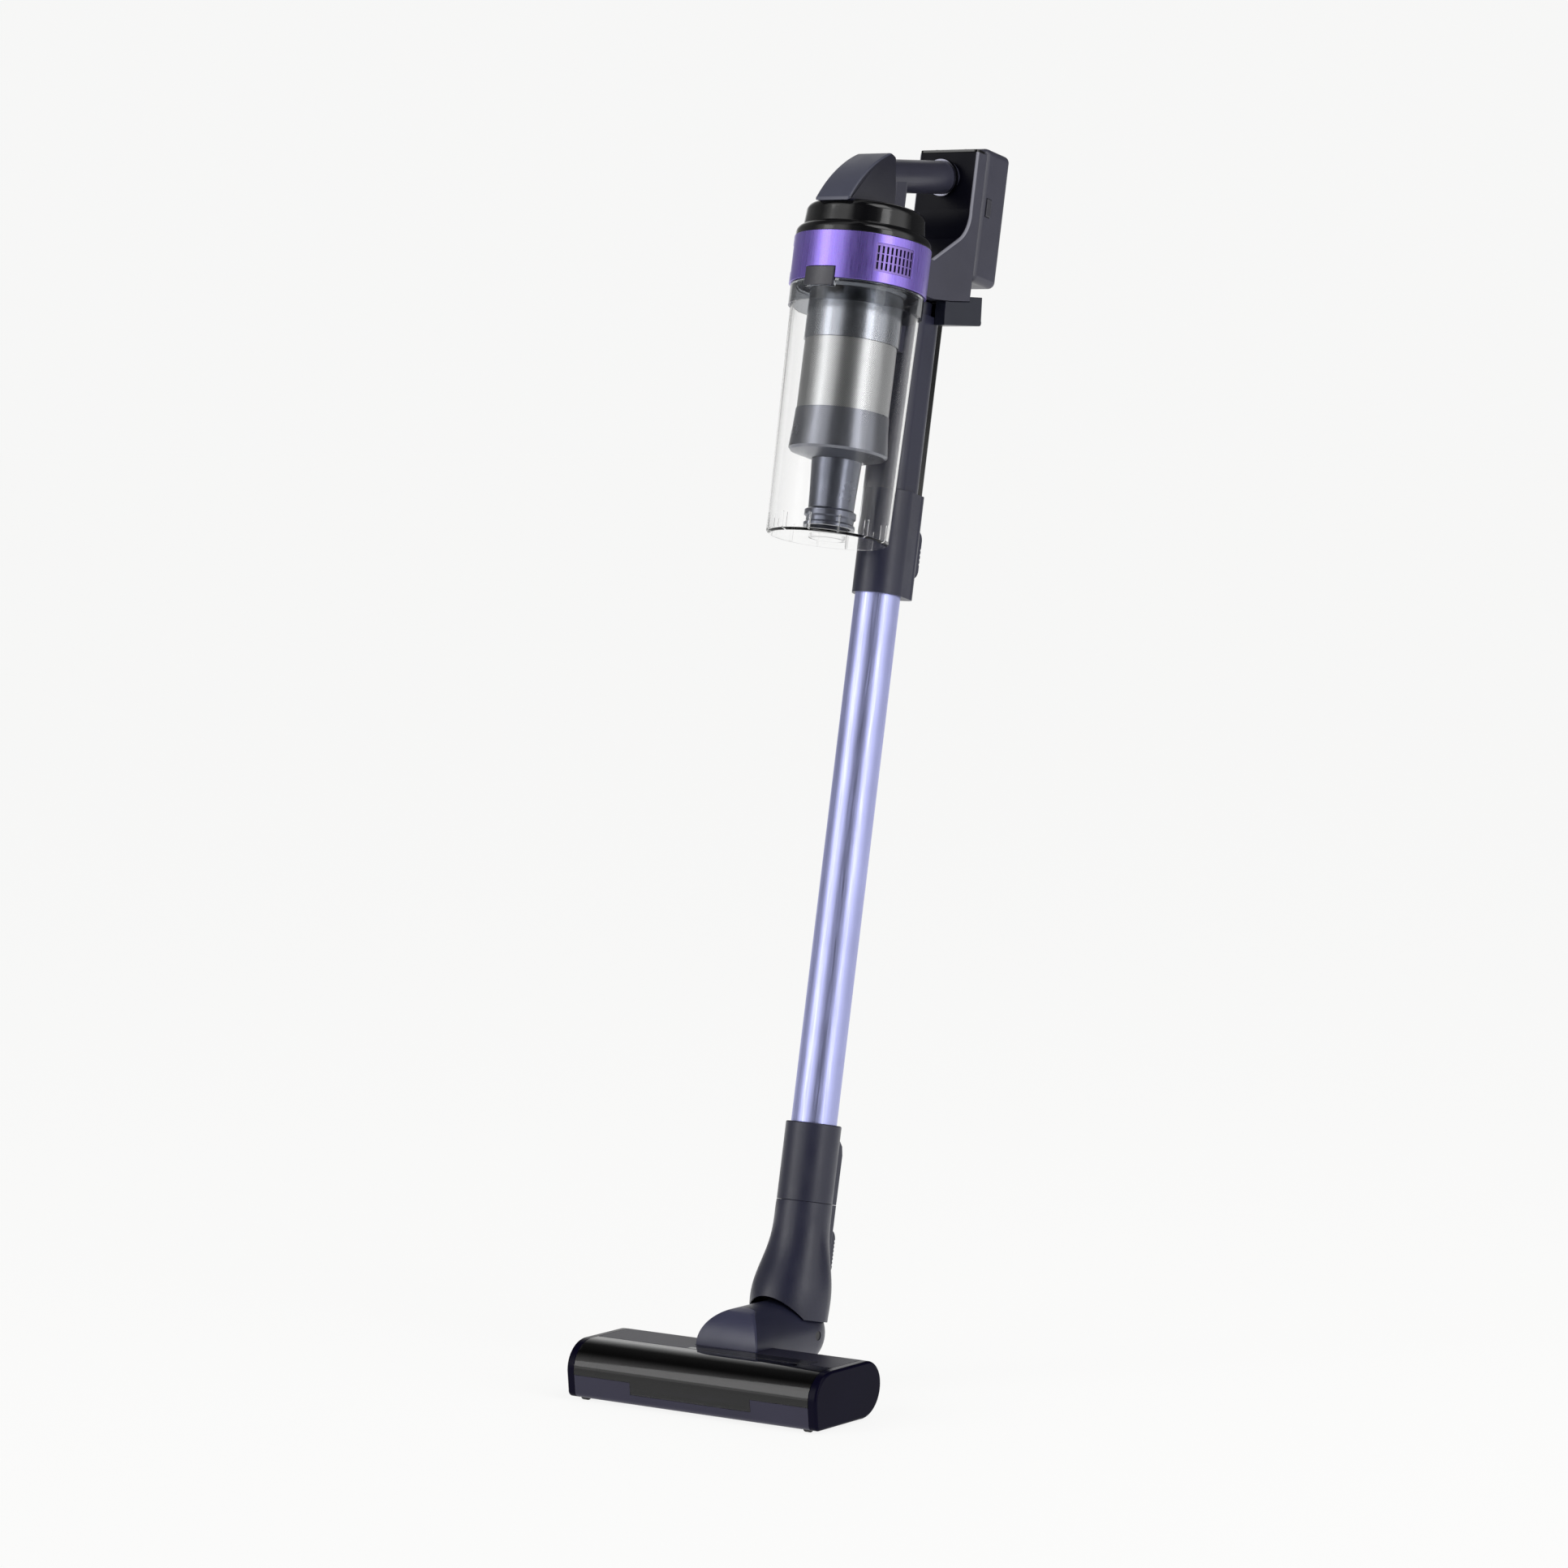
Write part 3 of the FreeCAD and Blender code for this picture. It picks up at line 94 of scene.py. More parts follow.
# ---- node helpers ----------------------------------------------------------------------------------
class Nodes:
    """Short way to add and join a material's nodes."""

    def __init__(self, name):
        self.material = bpy.data.materials.new(name)
        self.material.use_nodes = True
        self.tree = self.material.node_tree
        self.shader = self.tree.nodes["Principled BSDF"]

    def add(self, kind, inputs=None, **settings):
        node = self.tree.nodes.new("ShaderNode" + kind)
        for key, value in settings.items():
            setattr(node, key, value)
        for key, value in (inputs or {}).items():
            if isinstance(value, bpy.types.NodeSocket):
                self.tree.links.new(value, node.inputs[key])
            else:
                node.inputs[key].default_value = value
        return node

    def set(self, **values):
        for key, value in values.items():
            socket = self.shader.inputs[key.replace("_", " ")]
            if isinstance(value, bpy.types.NodeSocket):
                self.tree.links.new(value, socket)
            else:
                socket.default_value = value

    def place(self, on_stick=False):
        """The model's coordinates, or the stick's own."""
        at = self.add("TexCoord").outputs["Object"]
        if on_stick:
            at = self.add("Mapping", {"Vector": at, "Location": HINGE, "Rotation": (-LEAN, 0, 0)},
                          vector_type="TEXTURE").outputs[0]
        return at

    def noise(self, at, scale, detail=3.0, stretch=None):
        """Soft noise, longer in the directions whose stretch is small."""
        if stretch:
            at = self.add("Mapping", {"Vector": at, "Scale": stretch}).outputs[0]
        return self.add("TexNoise", {"Vector": at, "Scale": scale, "Detail": detail}).outputs["Fac"]

    def between(self, value, low, high, low_in=0.3, high_in=0.7):
        """A number that runs from low to high with the given one."""
        return self.add("MapRange", {"Value": value, "From Min": low_in, "From Max": high_in,
                                     "To Min": low, "To Max": high}).outputs[0]

    def blend(self, value, first, second):
        """A colour between two others."""
        mix = self.add("Mix", {"Factor": value}, data_type="RGBA")
        for socket, colour in zip((mix.inputs[6], mix.inputs[7]), (first, second)):
            if isinstance(colour, bpy.types.NodeSocket):
                self.tree.links.new(colour, socket)
            else:
                socket.default_value = colour
        return mix.outputs[2]

    def maths(self, operation, first, second=0.0):
        """One operation on one or two numbers."""
        return self.add("Math", {0: first, 1: second}, operation=operation).outputs[0]

    def bump(self, height, distance, strength=1.0):
        """Surface relief from a height, at a depth in metres."""
        return self.add("Bump", {"Height": height, "Distance": distance, "Strength": strength}).outputs[0]


def shade(colour, factor):
    """The same colour, lighter or darker."""
    return tuple(min(1.0, c * factor) for c in colour[:3]) + (1.0,)


# ---- materials -------------------------------------------------------------------------------------
def moulded(name, colour, rough, grain=0.00004, variation=0.12, specular=0.5, metallic=0.0, wear=0.18):
    """Moulded plastic: fine spark-eroded grain, faint flow variation and handling smudges."""
    n = Nodes(name)
    at = n.place()
    flow = n.between(n.noise(at, 14, 4), 0, 1)
    n.set(Base_Color=n.blend(flow, shade(colour, 1 - variation), shade(colour, 1 + variation)))
    smudge = n.noise(at, 38, 5)
    n.set(Roughness=n.between(smudge, rough * (1 - wear), rough * (1 + wear)))
    fine = n.noise(at, 2600, 2)
    coarse = n.noise(at, 900, 2)
    n.set(Normal=n.bump(n.maths("ADD", fine, coarse), grain))
    n.set(Specular_IOR_Level=specular, Metallic=metallic)
    return n.material


def painted_facing_tone(name, colour, painted_tone, toward, rough, grain, shine=0.5, edge=None):
    """Moulding whose faces along the given stick direction have a second tone, painted light or shade by
    the way they face, and a coarser texture.

    The rounds between its sides and its front can have a painted highlight of their own.
    """
    n = Nodes(name)
    at = n.place()
    normal = n.add("TexCoord").outputs["Normal"]
    facing = n.add("VectorMath", {0: normal, 1: toward}, operation="DOT_PRODUCT")
    share = n.between(facing.outputs["Value"], 0, 1, 0.35, 0.6)
    flow = n.between(n.noise(at, 14, 4), 0.88, 1.12)
    # Painted light or shade: faces turned along toward take the second tone.
    tone = n.blend(share, colour, painted_tone)
    # Painted highlight on the rounds between the sides and the front.
    if edge:
        aside = n.maths("ABSOLUTE", n.add("SeparateXYZ", {"Vector": normal}).outputs[0])
        ahead = n.add("VectorMath", {0: normal, 1: FRONT_UP}, operation="DOT_PRODUCT").outputs["Value"]
        aside = n.between(aside, 0, 1, 0.2, 0.45)
        ahead = n.between(ahead, 0, 1, 0.2, 0.4)
        tone = n.blend(n.maths("MULTIPLY", aside, ahead), tone, edge)
    n.set(Base_Color=n.add("VectorMath", {0: tone, "Scale": flow}, operation="SCALE").outputs[0])
    n.set(Roughness=n.between(n.noise(at, 38, 5), rough * 0.82, rough * 1.18))
    n.set(Specular_IOR_Level=n.between(share, 0.5, shine, 0, 1))
    fine = n.noise(at, 2600, 2)
    coarse = n.maths("MULTIPLY", n.noise(at, 1100, 2), share)
    n.set(Normal=n.bump(n.maths("ADD", fine, coarse), grain))
    return n.material


def satin_metal(name, colour, rough, on_stick=True, stretch=(1, 1, 0.02), scale=1400, tint=0.06):
    """Drawn or turned metal: fine lines one way, with slow change of tone."""
    n = Nodes(name)
    at = n.place(on_stick)
    lines = n.noise(at, scale, 2, stretch)
    slow = n.noise(at, 22, 3)
    n.set(Base_Color=n.blend(n.between(slow, 0, 1), shade(colour, 1 - tint), shade(colour, 1 + tint)))
    n.set(Metallic=1.0, Roughness=n.between(lines, rough * 0.8, rough * 1.25))
    n.set(Normal=n.bump(lines, 0.000012))
    return n.material


def ring_metal():
    """Violet metallic coat with fine flake and upright brushing."""
    n = Nodes("violet_metallic")
    at = n.place(True)
    lines = n.noise(at, 1800, 2, (1, 1, 0.03))
    flake = n.add("TexVoronoi", {"Vector": at, "Scale": 3200}).outputs["Color"]
    base = n.blend(n.between(lines, 0, 1), srgb(122, 98, 200), srgb(140, 116, 218))
    n.set(Base_Color=n.blend(0.06, base, flake))
    n.set(Metallic=0.85, Roughness=n.between(lines, 0.26, 0.36), Coat_Weight=0.35, Coat_Roughness=0.06)
    n.set(Normal=n.bump(lines, 0.00001))
    return n.material


def round_place(n, centre_y):
    """Arc length round the upright axis at the given Y, and height, in the stick's frame."""
    at = n.add("SeparateXYZ", {"Vector": n.place(True)}).outputs
    y = n.maths("SUBTRACT", at[1], centre_y)
    return n.maths("ARCTAN2", at[0], y), at[2]


def plate_look(colour, painted_shadow):
    """Top plate with a painted shadow along its front edge, before the knuckle, in gloss black."""
    n = Nodes("top_plate_painted_shadow")
    at = n.place()
    x, y = n.add("SeparateXYZ", {"Vector": at}).outputs[:2]
    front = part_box("top_plate")[0].y
    left = n.between(x, 0, 1, -0.0285, -0.0275)
    right = n.between(x, 1, 0, 0.097, 0.098)
    depth = n.between(x, 0.006, 0.014, -0.028, 0.02)
    back = n.between(n.maths("SUBTRACT", n.maths("SUBTRACT", y, front), depth), 1, 0, -0.0002, 0.0002)
    shadow_mask = n.maths("MULTIPLY", n.maths("MULTIPLY", left, right), back)
    flow = n.between(n.noise(at, 14, 4), 0.9, 1.1)
    # Painted shadow of the opening before the knuckle: gloss black inside the band.
    tone = n.blend(shadow_mask, colour, painted_shadow)
    n.set(Base_Color=n.add("VectorMath", {0: tone, "Scale": flow}, operation="SCALE").outputs[0])
    n.set(Roughness=n.between(shadow_mask, 0.42, 0.14, 0, 1), Specular_IOR_Level=n.between(shadow_mask, 0.2, 0.5, 0, 1))
    grain = n.maths("MULTIPLY", n.noise(at, 1800, 3), n.between(shadow_mask, 1, 0.1, 0, 1))
    n.set(Normal=n.bump(n.maths("SUBTRACT", grain, n.maths("MULTIPLY", shadow_mask, 4.0)), 0.00004))
    return n.material


def mesh_metal(name, colour, dark, centre_y, radius, pitch, rough):
    """Fine woven or perforated sheet: a dimple at each crossing of the pitch, with painted shade in the
    openings.
    """
    n = Nodes(name)
    angle, height = round_place(n, centre_y)
    around = n.maths("SINE", n.maths("MULTIPLY", angle, 2 * math.pi * radius / pitch))
    along = n.maths("SINE", n.maths("MULTIPLY", height, 2 * math.pi / pitch))
    dots = n.maths("MULTIPLY", around, along)
    # Painted shade: the openings take the darker colour.
    opening_shade = n.between(dots, 0, 1, 0.05, 0.6)
    n.set(Base_Color=n.blend(opening_shade, colour, dark))
    n.set(Metallic=0.95, Roughness=rough)
    n.set(Normal=n.bump(dots, -0.00004, 0.5))
    return n.material


def clear(name, tint, rough=0.03, ior=1.45):
    """Clear moulding: passes light, with faint moulding waves and fine wiping haze."""
    n = Nodes(name)
    at = n.place(True)
    n.set(Base_Color=tint, Transmission_Weight=1.0, IOR=ior)
    haze = n.noise(at, 60, 5, (1, 1, 0.25))
    n.set(Roughness=n.between(haze, rough * 0.5, rough * 1.8))
    n.set(Normal=n.bump(n.noise(at, 26, 2, (1, 1, 0.2)), 0.00005, 0.5))
    return n.material


def rubber(name, colour, tread):
    """Rubber with a fine grain and ribs at the given pitch across it."""
    n = Nodes(name)
    at = n.place()
    grain = n.noise(at, 1600, 3)
    n.set(Base_Color=n.blend(n.between(grain, 0, 1), shade(colour, 0.8), shade(colour, 1.25)))
    n.set(Roughness=0.78)
    across = n.add("SeparateXYZ", {"Vector": at}).outputs[0]
    ribs = n.maths("SINE", n.maths("MULTIPLY", across, 2 * math.pi / tread))
    n.set(Normal=n.bump(n.maths("ADD", grain, ribs), 0.00008))
    return n.material


def foam(name, colour):
    """Open-cell foam, with painted shade in its pores."""
    n = Nodes(name)
    cells = n.add("TexVoronoi", {"Vector": n.place(), "Scale": 900}).outputs["Distance"]
    n.set(Base_Color=n.blend(n.between(cells, 0, 1, 0.1, 0.6), colour, shade(colour, 0.3)))
    n.set(Roughness=0.95)
    n.set(Normal=n.bump(cells, 0.0006))
    return n.material


def board():
    """Circuit board: green mask with pale tracks."""
    n = Nodes("circuit_board_green")
    at = n.place(True)
    tracks = n.add("TexBrick", {"Vector": at, "Scale": 160, "Mortar Size": 0.03,
                                "Color1": srgb(24, 92, 52), "Color2": srgb(20, 80, 46),
                                "Mortar": srgb(70, 140, 84)}).outputs["Color"]
    n.set(Base_Color=tracks, Roughness=0.35)
    return n.material


BODY = srgb(34, 35, 54)
UPPER = srgb(57, 57, 70)
MATERIALS = {
    "dark_plastic": moulded("satin_violet_grey", BODY, 0.36),
    "gloss_black": moulded("gloss_black", srgb(13, 13, 15), 0.12, grain=0.000004),
    "purple_metal": ring_metal(),
    "pipe_anodised": satin_metal("lavender_anodised", srgb(178, 182, 229), 0.38),
    "clear_plastic": clear("clear_bin", (1.0, 1.0, 1.0, 1), ior=1.18),
    "smoked_window": clear("smoked_window", srgb(44, 44, 47), 0.05),
    "mesh_steel": mesh_metal("fine_mesh", srgb(184, 185, 186), srgb(111, 111, 112), BIN_AXIS.y,
                             radius=0.0396, pitch=0.0014, rough=0.30),
    "cyclone_metal": moulded("cyclone_bright", srgb(150, 153, 160), 0.26, grain=0.000002, variation=0.02,
                             metallic=1.0, wear=0.03),
    "cyclone_grey": moulded("cyclone_grey", srgb(122, 124, 132), 0.28, grain=0.000003, variation=0.02,
                            metallic=0.8, wear=0.03),
    "strip_plastic": moulded("bumper_violet", srgb(42, 40, 60), 0.32, specular=0.3),
    "face_plastic": moulded("face_grey", srgb(60, 61, 84), 0.36),
    "bright_trim": satin_metal("trim_polished", srgb(104, 104, 114), 0.2),
    "button_plastic": moulded("button_satin", srgb(54, 54, 62), 0.32),
    "contact_metal": satin_metal("plated_contact", srgb(214, 178, 104), 0.22),
    "board": board(),
    "cell_sleeve": moulded("cell_sleeve", srgb(60, 112, 150), 0.25),
    "motor_metal": satin_metal("cast_metal", srgb(165, 166, 170), 0.42, stretch=(1, 1, 1), scale=700),
    "steel": satin_metal("ground_steel", srgb(190, 192, 196), 0.24, on_stick=False, stretch=(0.05, 1, 1)),
    "fan_plastic": moulded("pale_plastic", srgb(214, 214, 208), 0.42),
    "filter_foam": foam("filter_foam", srgb(64, 64, 70)),
    "black_rubber": rubber("black_rubber", srgb(34, 34, 36), tread=0.0016),
    "brush_plastic": moulded("brush_violet", srgb(88, 72, 128), 0.38),
    "bristle_fibre": moulded("bristle_fibre", srgb(84, 84, 96), 0.5, variation=0.4),
}
SLOT_OF = {entry["node"]: entry["material_slot"] for entry in frame["record"]["subparts"]}
FRONT_UP = (UP - REAR).normalized()
OTHER_LOOKS = {
    "end_caps": moulded("end_cap_black", srgb(10, 8, 28), 0.2, grain=0.000006, specular=0.05),
    # Handle frame: painted shade on its faces turned to the front, painted highlight on its front edge
    # rounds.
    "handle_frame": painted_facing_tone("frame_painted_shade_and_highlight", UPPER, srgb(10, 10, 20), -REAR, 0.36, 0.00004, shine=0.08,
                             edge=srgb(140, 140, 150)),
    "battery_case": moulded("battery_shell", UPPER, 0.34),
    "column_foot": moulded("foot_grey", srgb(28, 31, 44), 0.36),
    # Top plate with a painted shadow along its front edge, before the knuckle.
    "top_plate": plate_look(srgb(36, 35, 50), srgb(10, 10, 12)),
    "handle_grip": moulded("grip_satin", srgb(50, 50, 64), 0.38),
    # Pivot pins are dark grey, so their ends show no bright dot in the knuckle's holes.
    "pivot_pins": moulded("pin_dark_grey", srgb(30, 30, 34), 0.35),
    "vent_mesh": mesh_metal("vent_grille", srgb(142, 122, 190), srgb(92, 74, 138), BIN_AXIS.y,
                            radius=0.0587, pitch=0.0013, rough=0.4),
    "bin_rim": clear("smoked_rim", srgb(182, 184, 187), 0.06, ior=1.25),
    "dust_cone": moulded("cone_dark_grey", srgb(104, 107, 118), 0.28, grain=0.000003, variation=0.02,
                         metallic=0.8, wear=0.03),
}
for name, node in NODES.items():
    node.data.materials.clear()
    node.data.materials.append(OTHER_LOOKS.get(name, MATERIALS[SLOT_OF[name]]))


# ---- edges -----------------------------------------------------------------------------------------
SOFT_EDGES = {
    "handle_frame": 1.6, "column_foot": 1.0, "battery_dock": 0.6, "control_panel": 0.4, "connector": 0.9,
    "lower_collar": 0.5, "tube_channel": 0.6, "top_plate": 0.6, "end_caps": 0.5, "ring_cover": 0.5,
    "top_cap": 0.5, "handle_grip": 0.6, "neck": 0.5, "knuckle_face": 0.5, "front_strip": 0.4,
    "pipe_button": 0.6, "neck_button": 0.6, "bin_button": 0.6, "suction_tube": 0.4, "bin": 0.3,
}


def soften(node, width):
    """Small rounds on a moulding's edges, as modifiers that leave its mesh as it is."""
    if "custom_normal" in node.data.attributes:
        node.data.attributes.remove(node.data.attributes["custom_normal"])
    weld = node.modifiers.new("weld", "WELD")
    weld.merge_threshold = 0.01 * MM
    flat = node.modifiers.new("flat", "DECIMATE")
    flat.decimate_type = "DISSOLVE"
    flat.angle_limit = math.radians(0.4)
    bevel = node.modifiers.new("edge", "BEVEL")
    bevel.width = width * MM
    bevel.segments = 3
    bevel.limit_method = "ANGLE"
    bevel.angle_limit = math.radians(38)
    bevel.harden_normals = True
    normals = node.modifiers.new("normals", "WEIGHTED_NORMAL")
    normals.keep_sharp = True


for name, width in SOFT_EDGES.items():
    soften(NODES[name], width)


# ---- mesh helpers ----------------------------------------------------------------------------------
def piece(name, mesh, body, material, replaced=()):
    """A visual piece in its slot, riding on a body and standing in for the named CAD nodes."""
    obj = bpy.data.objects.new(name, mesh)
    bpy.context.scene.collection.objects.link(obj)
    mesh.materials.append(material)
    if body:
        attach(obj, body)
    if replaced:
        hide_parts(*replaced)
    return obj


def mesh_of(name, bm, smooth_under=35):
    """Mesh that is smooth except at edges sharper than the given degrees."""
    mesh = bpy.data.meshes.new(name)
    bm.to_mesh(mesh)
    bm.free()
    mesh.shade_smooth()
    mesh.set_sharp_from_angle(angle=math.radians(smooth_under))
    return mesh


# ---- motor cover: sloping wedge with rounded edges -------------------------------------------------
def arc_points(a, b, c, count):
    """Points along the circle through three points of a plane."""
    d = 2 * (a[0] * (b[1] - c[1]) + b[0] * (c[1] - a[1]) + c[0] * (a[1] - b[1]))
    sq = [p[0] ** 2 + p[1] ** 2 for p in (a, b, c)]
    ux = (sq[0] * (b[1] - c[1]) + sq[1] * (c[1] - a[1]) + sq[2] * (a[1] - b[1])) / d
    uy = (sq[0] * (c[0] - b[0]) + sq[1] * (a[0] - c[0]) + sq[2] * (b[0] - a[0])) / d
    r = math.dist((ux, uy), a)
    first = math.atan2(a[1] - uy, a[0] - ux)
    last = math.atan2(c[1] - uy, c[0] - ux)
    turn = (last - first + math.pi) % (2 * math.pi) - math.pi
    return [(ux + r * math.cos(first + turn * i / count), uy + r * math.sin(first + turn * i / count))
            for i in range(count + 1)]


def motor_cover():
    """Wedge from its side outline in the stick's frame, in mm, with a domed front and rounded edges."""
    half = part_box("motor_cover")[1].x / MM
    bottom = 955.0
    side = [(-138.5, bottom)] + arc_points((-138.5, 957), (-116, 985.5), (-84, 1008.5), 18)
    side += [(-76, 1006.5), (-70, 976), (-70, bottom)]
    bm = bmesh.new()
    rows = [[bm.verts.new((x * MM, y * MM, z * MM)) for y, z in side] for x in (-half, half)]
    count = len(side)
    for i in range(count):
        j = (i + 1) % count
        bm.faces.new((rows[0][i], rows[0][j], rows[1][j], rows[1][i]))
    bm.faces.new(rows[0][::-1])
    bm.faces.new(rows[1])
    bmesh.ops.recalc_face_normals(bm, faces=bm.faces)
    sharp = [e for e in bm.edges if len(e.link_faces) == 2 and e.calc_face_angle() > math.radians(30)]
    bmesh.ops.bevel(bm, geom=sharp, offset=2.4 * MM, segments=4, profile=0.5, affect="EDGES")
    bm.transform(STICK)
    # Painted light on faces turned front and up, painted shade on the sides; the coarser grain there is
    # the facet's own texture.
    look = painted_facing_tone("cover_painted_light_and_shade", srgb(22, 22, 38), srgb(78, 80, 96), FRONT_UP, 0.4, 0.00006)
    mesh = mesh_of("motor_cover_wedge", bm)
    piece("motor_cover_wedge", mesh, "handheld", look, ["motor_cover"])


# ---- brush: tufts of fibres in helical rows --------------------------------------------------------
def brush_tufts():
    """Each tuft is a few tapered fibres that lean along their row."""
    low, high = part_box("brush_bristles")
    half = high.x
    outer = (high.z - low.z) / 2 - 0.1 * MM
    inner = 11.6 * MM
    tilt = math.radians(6) / 7.5 / MM
    bm = bmesh.new()
    spacing = 2.4 * MM
    count = int(half / spacing)
    for row in range(4):
        for k in range(-count, count):
            x = (k + 0.5) * spacing
            start = math.radians(90) * row - abs(x) * tilt
            for _ in range(7):
                angle = start + rng.uniform(-0.09, 0.09)
                root_x = x + rng.uniform(-0.8, 0.8) * MM
                tip_x = root_x + rng.uniform(-1.2, 1.2) * MM
                tip_angle = angle + rng.uniform(-0.05, 0.05)
                tip_r = outer * rng.uniform(0.955, 1.0)
                add_fibre(bm, (root_x, inner, angle), (tip_x, tip_r, tip_angle), 0.28 * MM, half)
    bm.transform(Matrix.Translation((0, BRUSH_AT.y, BRUSH_AT.z)))
    mesh = bpy.data.meshes.new("brush_tufts")
    bm.to_mesh(mesh)
    bm.free()
    piece("brush_tufts", mesh, "brush", MATERIALS["bristle_fibre"], ["brush_bristles"])


THIRDS = (0, 2.094, 4.189)


def add_fibre(bm, root, tip, thick, half):
    """Three-sided spike from (x, radius, angle) to another such point round the brush axis."""
    rings = []
    for (x, radius, angle), size in ((root, thick), (tip, thick * 0.45)):
        x = max(-half + size, min(half - size, x))
        out = Vector((0, math.cos(angle), math.sin(angle)))
        side = Vector((0, -math.sin(angle), math.cos(angle)))
        centre = Vector((x, 0, 0)) + out * radius
        rings.append([bm.verts.new(centre + (side * math.cos(a) + ACROSS * math.sin(a)) * size)
                      for a in THIRDS])
    for i in range(3):
        j = (i + 1) % 3
        bm.faces.new((rings[0][i], rings[0][j], rings[1][j], rings[1][i]))
    bm.faces.new(rings[1])
    bm.faces.new(rings[0][::-1])


# ---- air hose: corrugated, bent at the hinge and up the neck ---------------------------------------
def air_hose():
    """Ribbed hose along the hinge: level from the duct, then up the neck."""
    low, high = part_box("air_hose")
    radius = high.x
    bend = 22 * MM
    turn = math.pi / 2 - LEAN
    reach = bend * math.tan(turn / 2)
    start = Vector((0, low.y, HINGE.z))
    first = Vector((0, HINGE.y - reach, HINGE.z))
    last = HINGE + UP * reach
    end = HINGE + UP * 33 * MM
    centre = first + Vector((0, 0, bend))
    path = [start.lerp(first, i / 12) for i in range(12)]
    angles = [turn * i / 60 for i in range(60)]
    path += [centre + Vector((0, math.sin(angle), -math.cos(angle))) * bend for angle in angles]
    path += [last.lerp(end, i / 24) for i in range(25)]
    bm = bmesh.new()
    rings = []
    travelled = 0.0
    sides = 28
    for i, point in enumerate(path):
        ahead = path[min(i + 1, len(path) - 1)] - path[max(i - 1, 0)]
        ahead.normalize()
        up = ACROSS.cross(ahead)
        if i:
            travelled += (point - path[i - 1]).length
        r = radius - 0.7 * MM + 0.6 * MM * math.cos(2 * math.pi * travelled / (2.6 * MM))
        rings.append([bm.verts.new(point + (ACROSS * math.cos(a) + up * math.sin(a)) * r)
                      for a in (2 * math.pi * k / sides for k in range(sides))])
    for a, b in zip(rings, rings[1:]):
        for k in range(sides):
            bm.faces.new((a[k], a[(k + 1) % sides], b[(k + 1) % sides], b[k]))
    bmesh.ops.solidify(bm, geom=bm.faces[:], thickness=0.8 * MM)
    bmesh.ops.recalc_face_normals(bm, faces=bm.faces)
    hose = piece("air_hose_ribbed", mesh_of("air_hose_ribbed", bm, 60), None,
                 MATERIALS["black_rubber"], ["air_hose"])
    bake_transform(hose)


motor_cover()
brush_tufts()
air_hose()


# ---- studio ----------------------------------------------------------------------------------------
# The camera's place, direction and lens were fitted to the photograph.
LENS_MM = 120.2
HEAD_MIDDLE = Vector((0, (HEAD_LOW.y + HEAD_HIGH.y) / 2, 0))
CAMERA_AT = HEAD_MIDDLE + Vector((2.5591, -3.5025, 0.8854))
LOOK = Vector((-0.5783, 0.8116, -0.0826)).normalized()
BACKDROP = 0.93
# Brightness round the horizon, as (share of a full turn, level): 0.5 is towards the photograph's camera.
WORLD_ROUND = [(0.03, BACKDROP), (0.08, 0.30), (0.22, 0.20), (0.30, 1.50), (0.385, 1.80), (0.445, 0.12),
               (0.50, 0.02), (0.56, 0.08), (0.63, 1.30), (0.71, 1.40), (0.78, 0.12), (0.935, 0.08),
               (0.97, BACKDROP)]
# The same by height, as (sine of the elevation, share of the level).
WORLD_HEIGHT = [(0.0, 1.0), (0.35, 1.0), (0.8, 0.35)]


def floor():
    """Wide pale floor. Most of its light is its own, so that it meets the backdrop without a line."""
    bm = bmesh.new()
    bmesh.ops.create_circle(bm, cap_ends=True, segments=128, radius=40)
    mesh = bpy.data.meshes.new("floor")
    bm.to_mesh(mesh)
    bm.free()
    obj = bpy.data.objects.new("floor", mesh)
    bpy.context.scene.collection.objects.link(obj)
    n = Nodes("pale_floor")
    n.set(Base_Color=(0.15, 0.15, 0.148, 1), Roughness=0.9, Specular_IOR_Level=0.0)
    n.set(Emission_Color=(1.0, 1.0, 0.995, 1), Emission_Strength=0.875)
    mesh.materials.append(n.material)


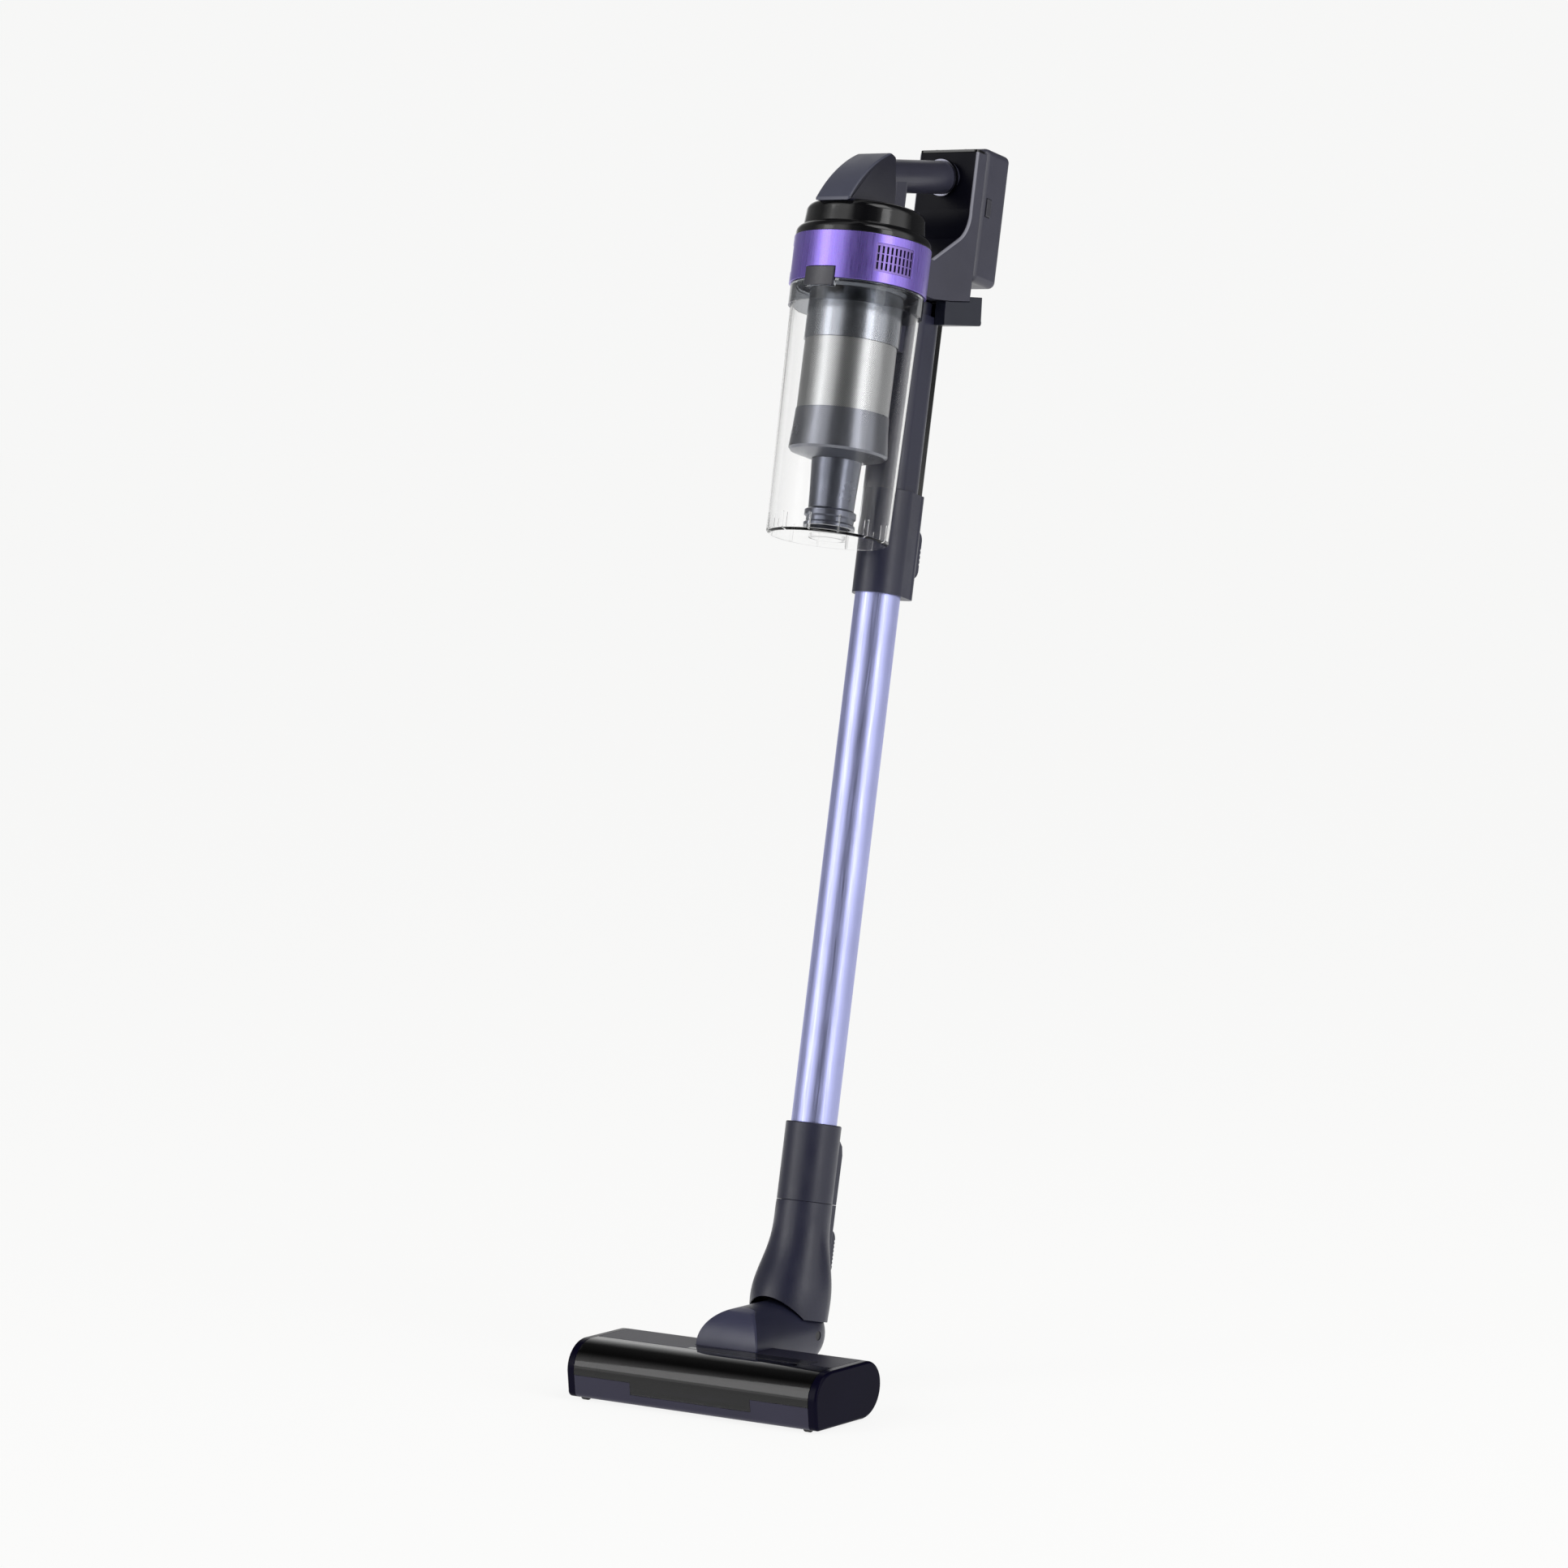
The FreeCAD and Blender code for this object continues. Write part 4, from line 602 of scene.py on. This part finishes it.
def world():
    """Studio surround: a plain pale backdrop, lit by tall soft lights with a dark flag between them."""
    scene = bpy.context.scene
    scene.world = bpy.data.worlds.new("studio")
    scene.world.use_nodes = True
    tree = scene.world.node_tree
    links = tree.links
    toward = Vector((-LOOK.x, -LOOK.y, 0)).normalized()
    aside = Vector((-toward.y, toward.x, 0))
    at = tree.nodes.new("ShaderNodeTexCoord").outputs["Generated"]

    def maths(operation, first, second=0.0):
        node = tree.nodes.new("ShaderNodeMath")
        node.operation = operation
        for socket, value in zip(node.inputs, (first, second)):
            if isinstance(value, float):
                socket.default_value = value
            else:
                links.new(value, socket)
        return node.outputs[0]

    def along(direction):
        dot = tree.nodes.new("ShaderNodeVectorMath")
        dot.operation = "DOT_PRODUCT"
        links.new(at, dot.inputs[0])
        dot.inputs[1].default_value = direction
        return dot.outputs["Value"]

    def ramp(value, stops):
        node = tree.nodes.new("ShaderNodeValToRGB")
        node.color_ramp.interpolation = "EASE"
        links.new(value, node.inputs[0])
        marks = node.color_ramp.elements
        while len(marks) < len(stops):
            marks.new(0.5)
        for mark, (place, level) in zip(marks, stops):
            mark.position = place
            mark.color = (level, level, level, 1)
        return node.outputs[0]

    turn = maths("ARCTAN2", along(aside), along(toward))
    around = ramp(maths("ADD", maths("DIVIDE", turn, 2 * math.pi), 0.5), WORLD_ROUND)
    height = ramp(along(Vector((0, 0, 1))), WORLD_HEIGHT)
    level = maths("MULTIPLY", around, height)
    seen = tree.nodes.new("ShaderNodeLightPath").outputs["Is Camera Ray"]
    plain = maths("MULTIPLY", seen, maths("SUBTRACT", BACKDROP, level))
    links.new(maths("ADD", level, plain), tree.nodes["Background"].inputs["Strength"])
    tree.nodes["Background"].inputs["Color"].default_value = (1.0, 1.0, 0.995, 1)


def softbox(name, at, target, size, power):
    light = bpy.data.lights.new(name, "AREA")
    light.shape = "RECTANGLE"
    light.size, light.size_y = size
    light.energy = power
    obj = bpy.data.objects.new(name, light)
    obj.location = at
    obj.rotation_euler = (target - Vector(at)).to_track_quat("-Z", "Y").to_euler()
    bpy.context.scene.collection.objects.link(obj)


def camera():
    data = bpy.data.cameras.new("camera")
    data.lens = LENS_MM
    data.sensor_width = 36
    data.clip_end = 200
    obj = bpy.data.objects.new("camera", data)
    obj.location = CAMERA_AT
    obj.rotation_euler = LOOK.to_track_quat("-Z", "Y").to_euler()
    bpy.context.scene.collection.objects.link(obj)
    bpy.context.scene.camera = obj


floor()
world()
middle = Vector((0, 0, 0.55))
softbox("left_softbox", (-1.6, -2.6, 1.5), middle, (0.9, 2.2), 12)
softbox("right_softbox", (2.9, -0.6, 1.3), middle, (0.9, 2.2), 16)
softbox("top_softbox", (1.6, -0.3, 3.0), middle, (1.4, 1.4), 16)
camera()
bpy.context.scene.view_settings.view_transform = "Standard"
